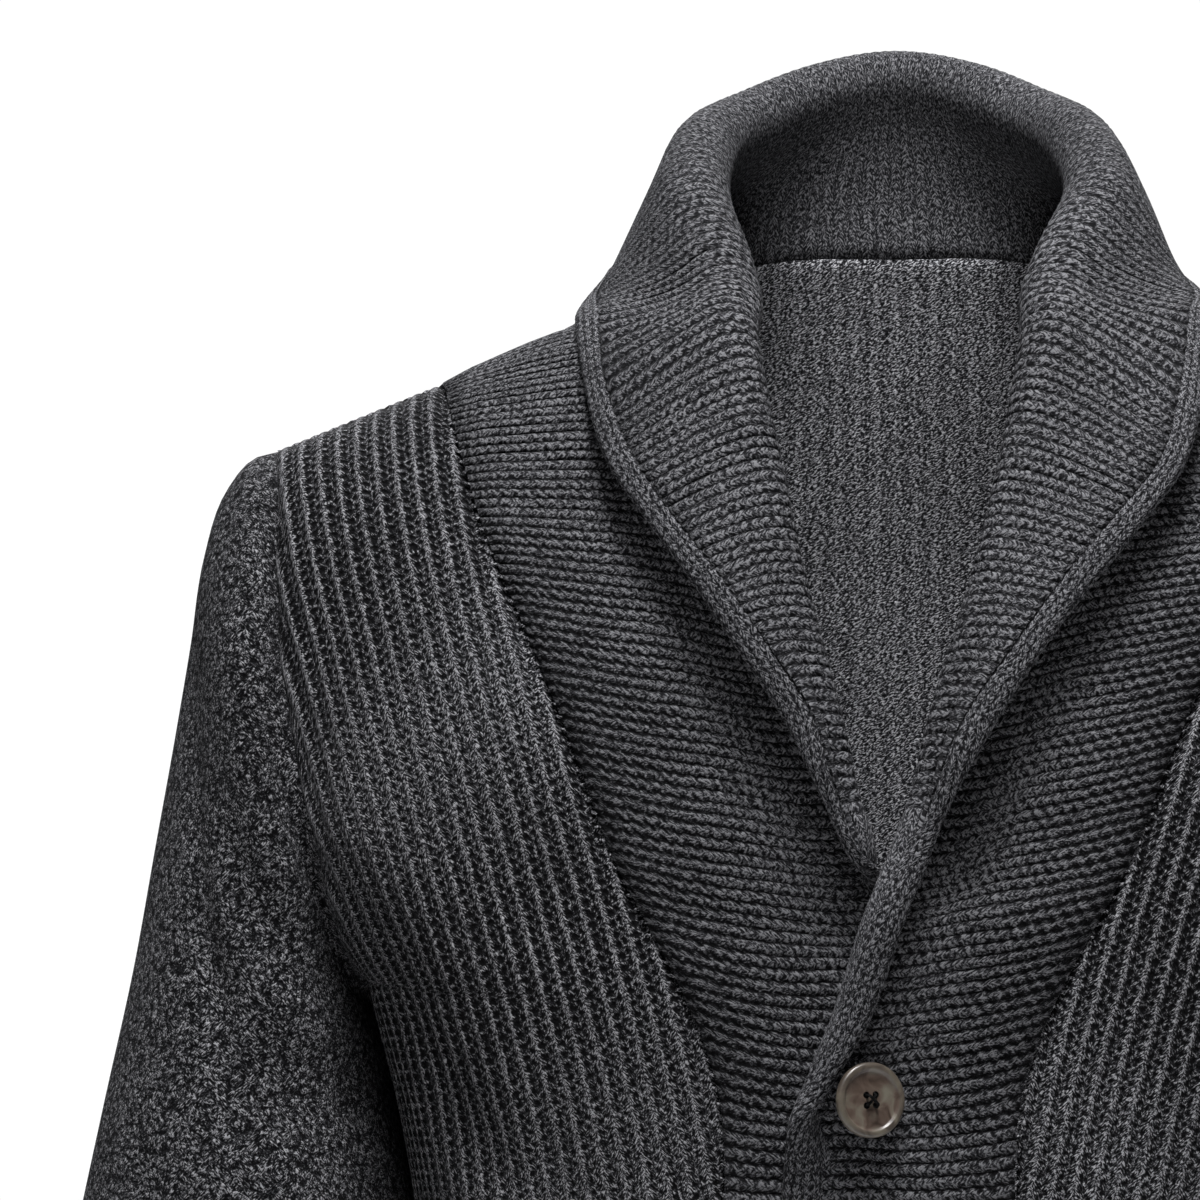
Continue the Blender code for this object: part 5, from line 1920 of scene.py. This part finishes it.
@dataclass
class Studio:
    """Pale floor, soft light from above and in front, and the camera."""

    camera_place: tuple[float, float, float] = (0.088, -2.1, -0.115)
    camera_turn: float = 5.25           # degrees about the vertical
    lens_mm: float = 171.42
    floor_z: float = -1.10
    paper: str = "#f4f4f4"
    backdrop: float = 1.02              # brightness of the paper behind, as the camera sees it
    lamps: tuple[Lamp, ...] = (
        Lamp("key_above_front", (0.02, -0.74, 2.02), (0.0, -0.05, -0.15), 0.55, 82.0),
        Lamp("soft_front", (0.1, -1.45, 1.86), (0.0, -0.05, -0.15), 0.8, 26.0),
        Lamp("back_above", (0.2, 1.9, 1.5), (0.0, 0.0, -0.2), 1.2, 60.0),
        # a weak beam reaches the stand inside the neck
        Lamp("neck_light", (0.03, -1.0, -0.24), (0.0, 0.09, 0.050), 0.10, 14.0, 15.0),
    )

    @staticmethod
    def hang(lamp: Lamp) -> None:
        """Hang one lamp.

        Args:
            lamp: Its place, aim, size and power.
        """
        light = bpy.data.lights.new(lamp.name, "SPOT" if lamp.cone else "AREA")
        light.energy = lamp.watts
        if lamp.cone:
            light.spot_size = radians(lamp.cone)
            light.spot_blend = 1.0
            light.shadow_soft_size = lamp.size
        else:
            light.shape = "SQUARE"
            light.size = lamp.size
        thing = bpy.data.objects.new(lamp.name, light)
        thing.location = lamp.place
        towards = Vector(lamp.aim) - Vector(lamp.place)
        thing.rotation_euler = towards.to_track_quat("-Z", "Y").to_euler()
        bpy.context.scene.collection.objects.link(thing)

    def build(self) -> None:
        """Set the camera, lights, world and floor."""
        scene = bpy.context.scene
        scene.view_settings.view_transform = "Standard"
        camera = bpy.data.cameras.new("camera")
        camera.sensor_width = 36.0
        camera.lens = self.lens_mm
        thing = bpy.data.objects.new("camera", camera)
        thing.location = self.camera_place
        thing.rotation_euler = (radians(90.0), 0.0, radians(self.camera_turn))
        scene.collection.objects.link(thing)
        scene.camera = thing
        for lamp in self.lamps:
            self.hang(lamp)
        world = bpy.data.worlds.new("studio")
        scene.world = world
        world.use_nodes = True
        world.node_tree.nodes.clear()
        add = partial(add_node, world.node_tree)
        seen = add("LightPath", out="Is Camera Ray")
        # the room's own light comes mostly from above
        up = add("SeparateXYZ", (add("TexCoord", out="Generated"),), out="Z")
        ambient = add("MapRange", {"Value": up, "From Min": 0.1, "From Max": 0.95,
                                   "To Min": 0.01, "To Max": 0.26})
        strength = add("Mix", {"Factor": seen, 2: ambient, 3: self.backdrop}, data_type="FLOAT")
        sky = add("Background", {"Color": (1.0, 1.0, 1.0, 1.0), "Strength": strength})
        add("OutputWorld", {"Surface": sky})
        self.build_floor()

    def build_floor(self) -> None:
        """Lay the paper floor."""
        paper, add = blank_material("floor_paper")
        shader = add("BsdfPrincipled", {"Base Color": to_linear(self.paper), "Roughness": 0.85})
        add("OutputMaterial", {"Surface": shader})
        bm = bmesh.new()
        bmesh.ops.create_grid(bm, x_segments=1, y_segments=1, size=2.0,
                              matrix=Matrix.Translation((0.0, 0.0, self.floor_z)))
        to_object("floor", bm, paper)


def knits() -> dict[str, bpy.types.Material]:
    """Make every knit of the cardigan.

    Returns:
        The materials, by the name of the cloth they are for.
    """
    brushed = Yarn(dark="#1b1b1d", body="#343437", light="#525256", fleck="#88888c")
    finer = Yarn(fibre_mm=0.46, stroke_mm=1.4)
    finishes = {
        "columns": Knit("wool_knit_columns", Stitch.COLUMN, wale_mm=7.5, course_mm=4.1,
                        depth_mm=1.6, hole_from=0.16, hole_to=0.68, strand_turn=38.0,
                        loose_mm=0.7, gain=0.93),
        "ribbed": Knit("wool_knit_rib", Stitch.RIB, wale_mm=4.7, course_mm=4.4,
                       depth_mm=0.6, hole_from=0.0, hole_to=0.56, strand_turn=26.0,
                       loose_mm=1.2, gain=0.62, uneven=0.45, shade=0.80, yarn=brushed),
        "turned": Knit("wool_knit_rib_turned", Stitch.RIB, wale_mm=4.6, course_mm=4.4,
                       depth_mm=0.35, hole_from=-0.25, hole_to=0.42, strand_turn=26.0,
                       loose_mm=1.2, phase=0.5, gain=0.64, uneven=0.40, shade=0.66, yarn=brushed),
        "mossy": Knit("wool_knit_moss", Stitch.MOSS, wale_mm=4.8, course_mm=4.6,
                      depth_mm=1.3, hole_from=-0.12, hole_to=0.44, strand_turn=45.0,
                      loose_mm=1.2, gain=0.72, uneven=0.5, shade=0.80),
        "tubular": Knit("wool_knit_tube", Stitch.TUBE, wale_mm=3.1, course_mm=4.2,
                        depth_mm=0.6, hole_from=-0.05, hole_to=0.40, strand_turn=24.0,
                        loose_mm=0.8, gain=0.76, uneven=0.6, yarn=brushed),
        "inside": Knit("wool_knit_wrong_side", Stitch.PURL, wale_mm=7.5, course_mm=4.1,
                       depth_mm=0.7, hole_from=0.15, hole_to=0.52, strand_turn=-60.0,
                       loose_mm=0.6, gain=1.06, yarn=finer),
    }
    return {name: finish.build() for name, finish in finishes.items()}


def main() -> None:
    """Build the cardigan and its studio."""
    logging.basicConfig(level=logging.INFO, format="%(name)s %(message)s")
    knit = knits()
    body = BodyForm()
    Fronts(body).build([knit["columns"], knit["inside"]])
    LinkStitches(body).build(knit["mossy"])
    BackPanel(body).build([knit["columns"], knit["inside"]])
    Sleeves(body).build([knit["mossy"], knit["inside"]])
    ShawlCollar(CollarForm(body)).build(knit["ribbed"], knit["turned"], knit["tubular"])
    buttons = Buttons(body)
    buttons.build(Horn().build(), Horn("horn_rim_worn", "#3b342e", "#524a42", "#656054").build(),
                  # painted shade: near-black horn on the holes' walls stands for the shadow inside
                  # them
                  Horn("horn_bore_painted_shade", "#050404", "#080706", "#0c0a09").build())
    buttons.dress_threads(SewingThread().build())
    Studio().build()


if __name__ == "__main__":
    main()
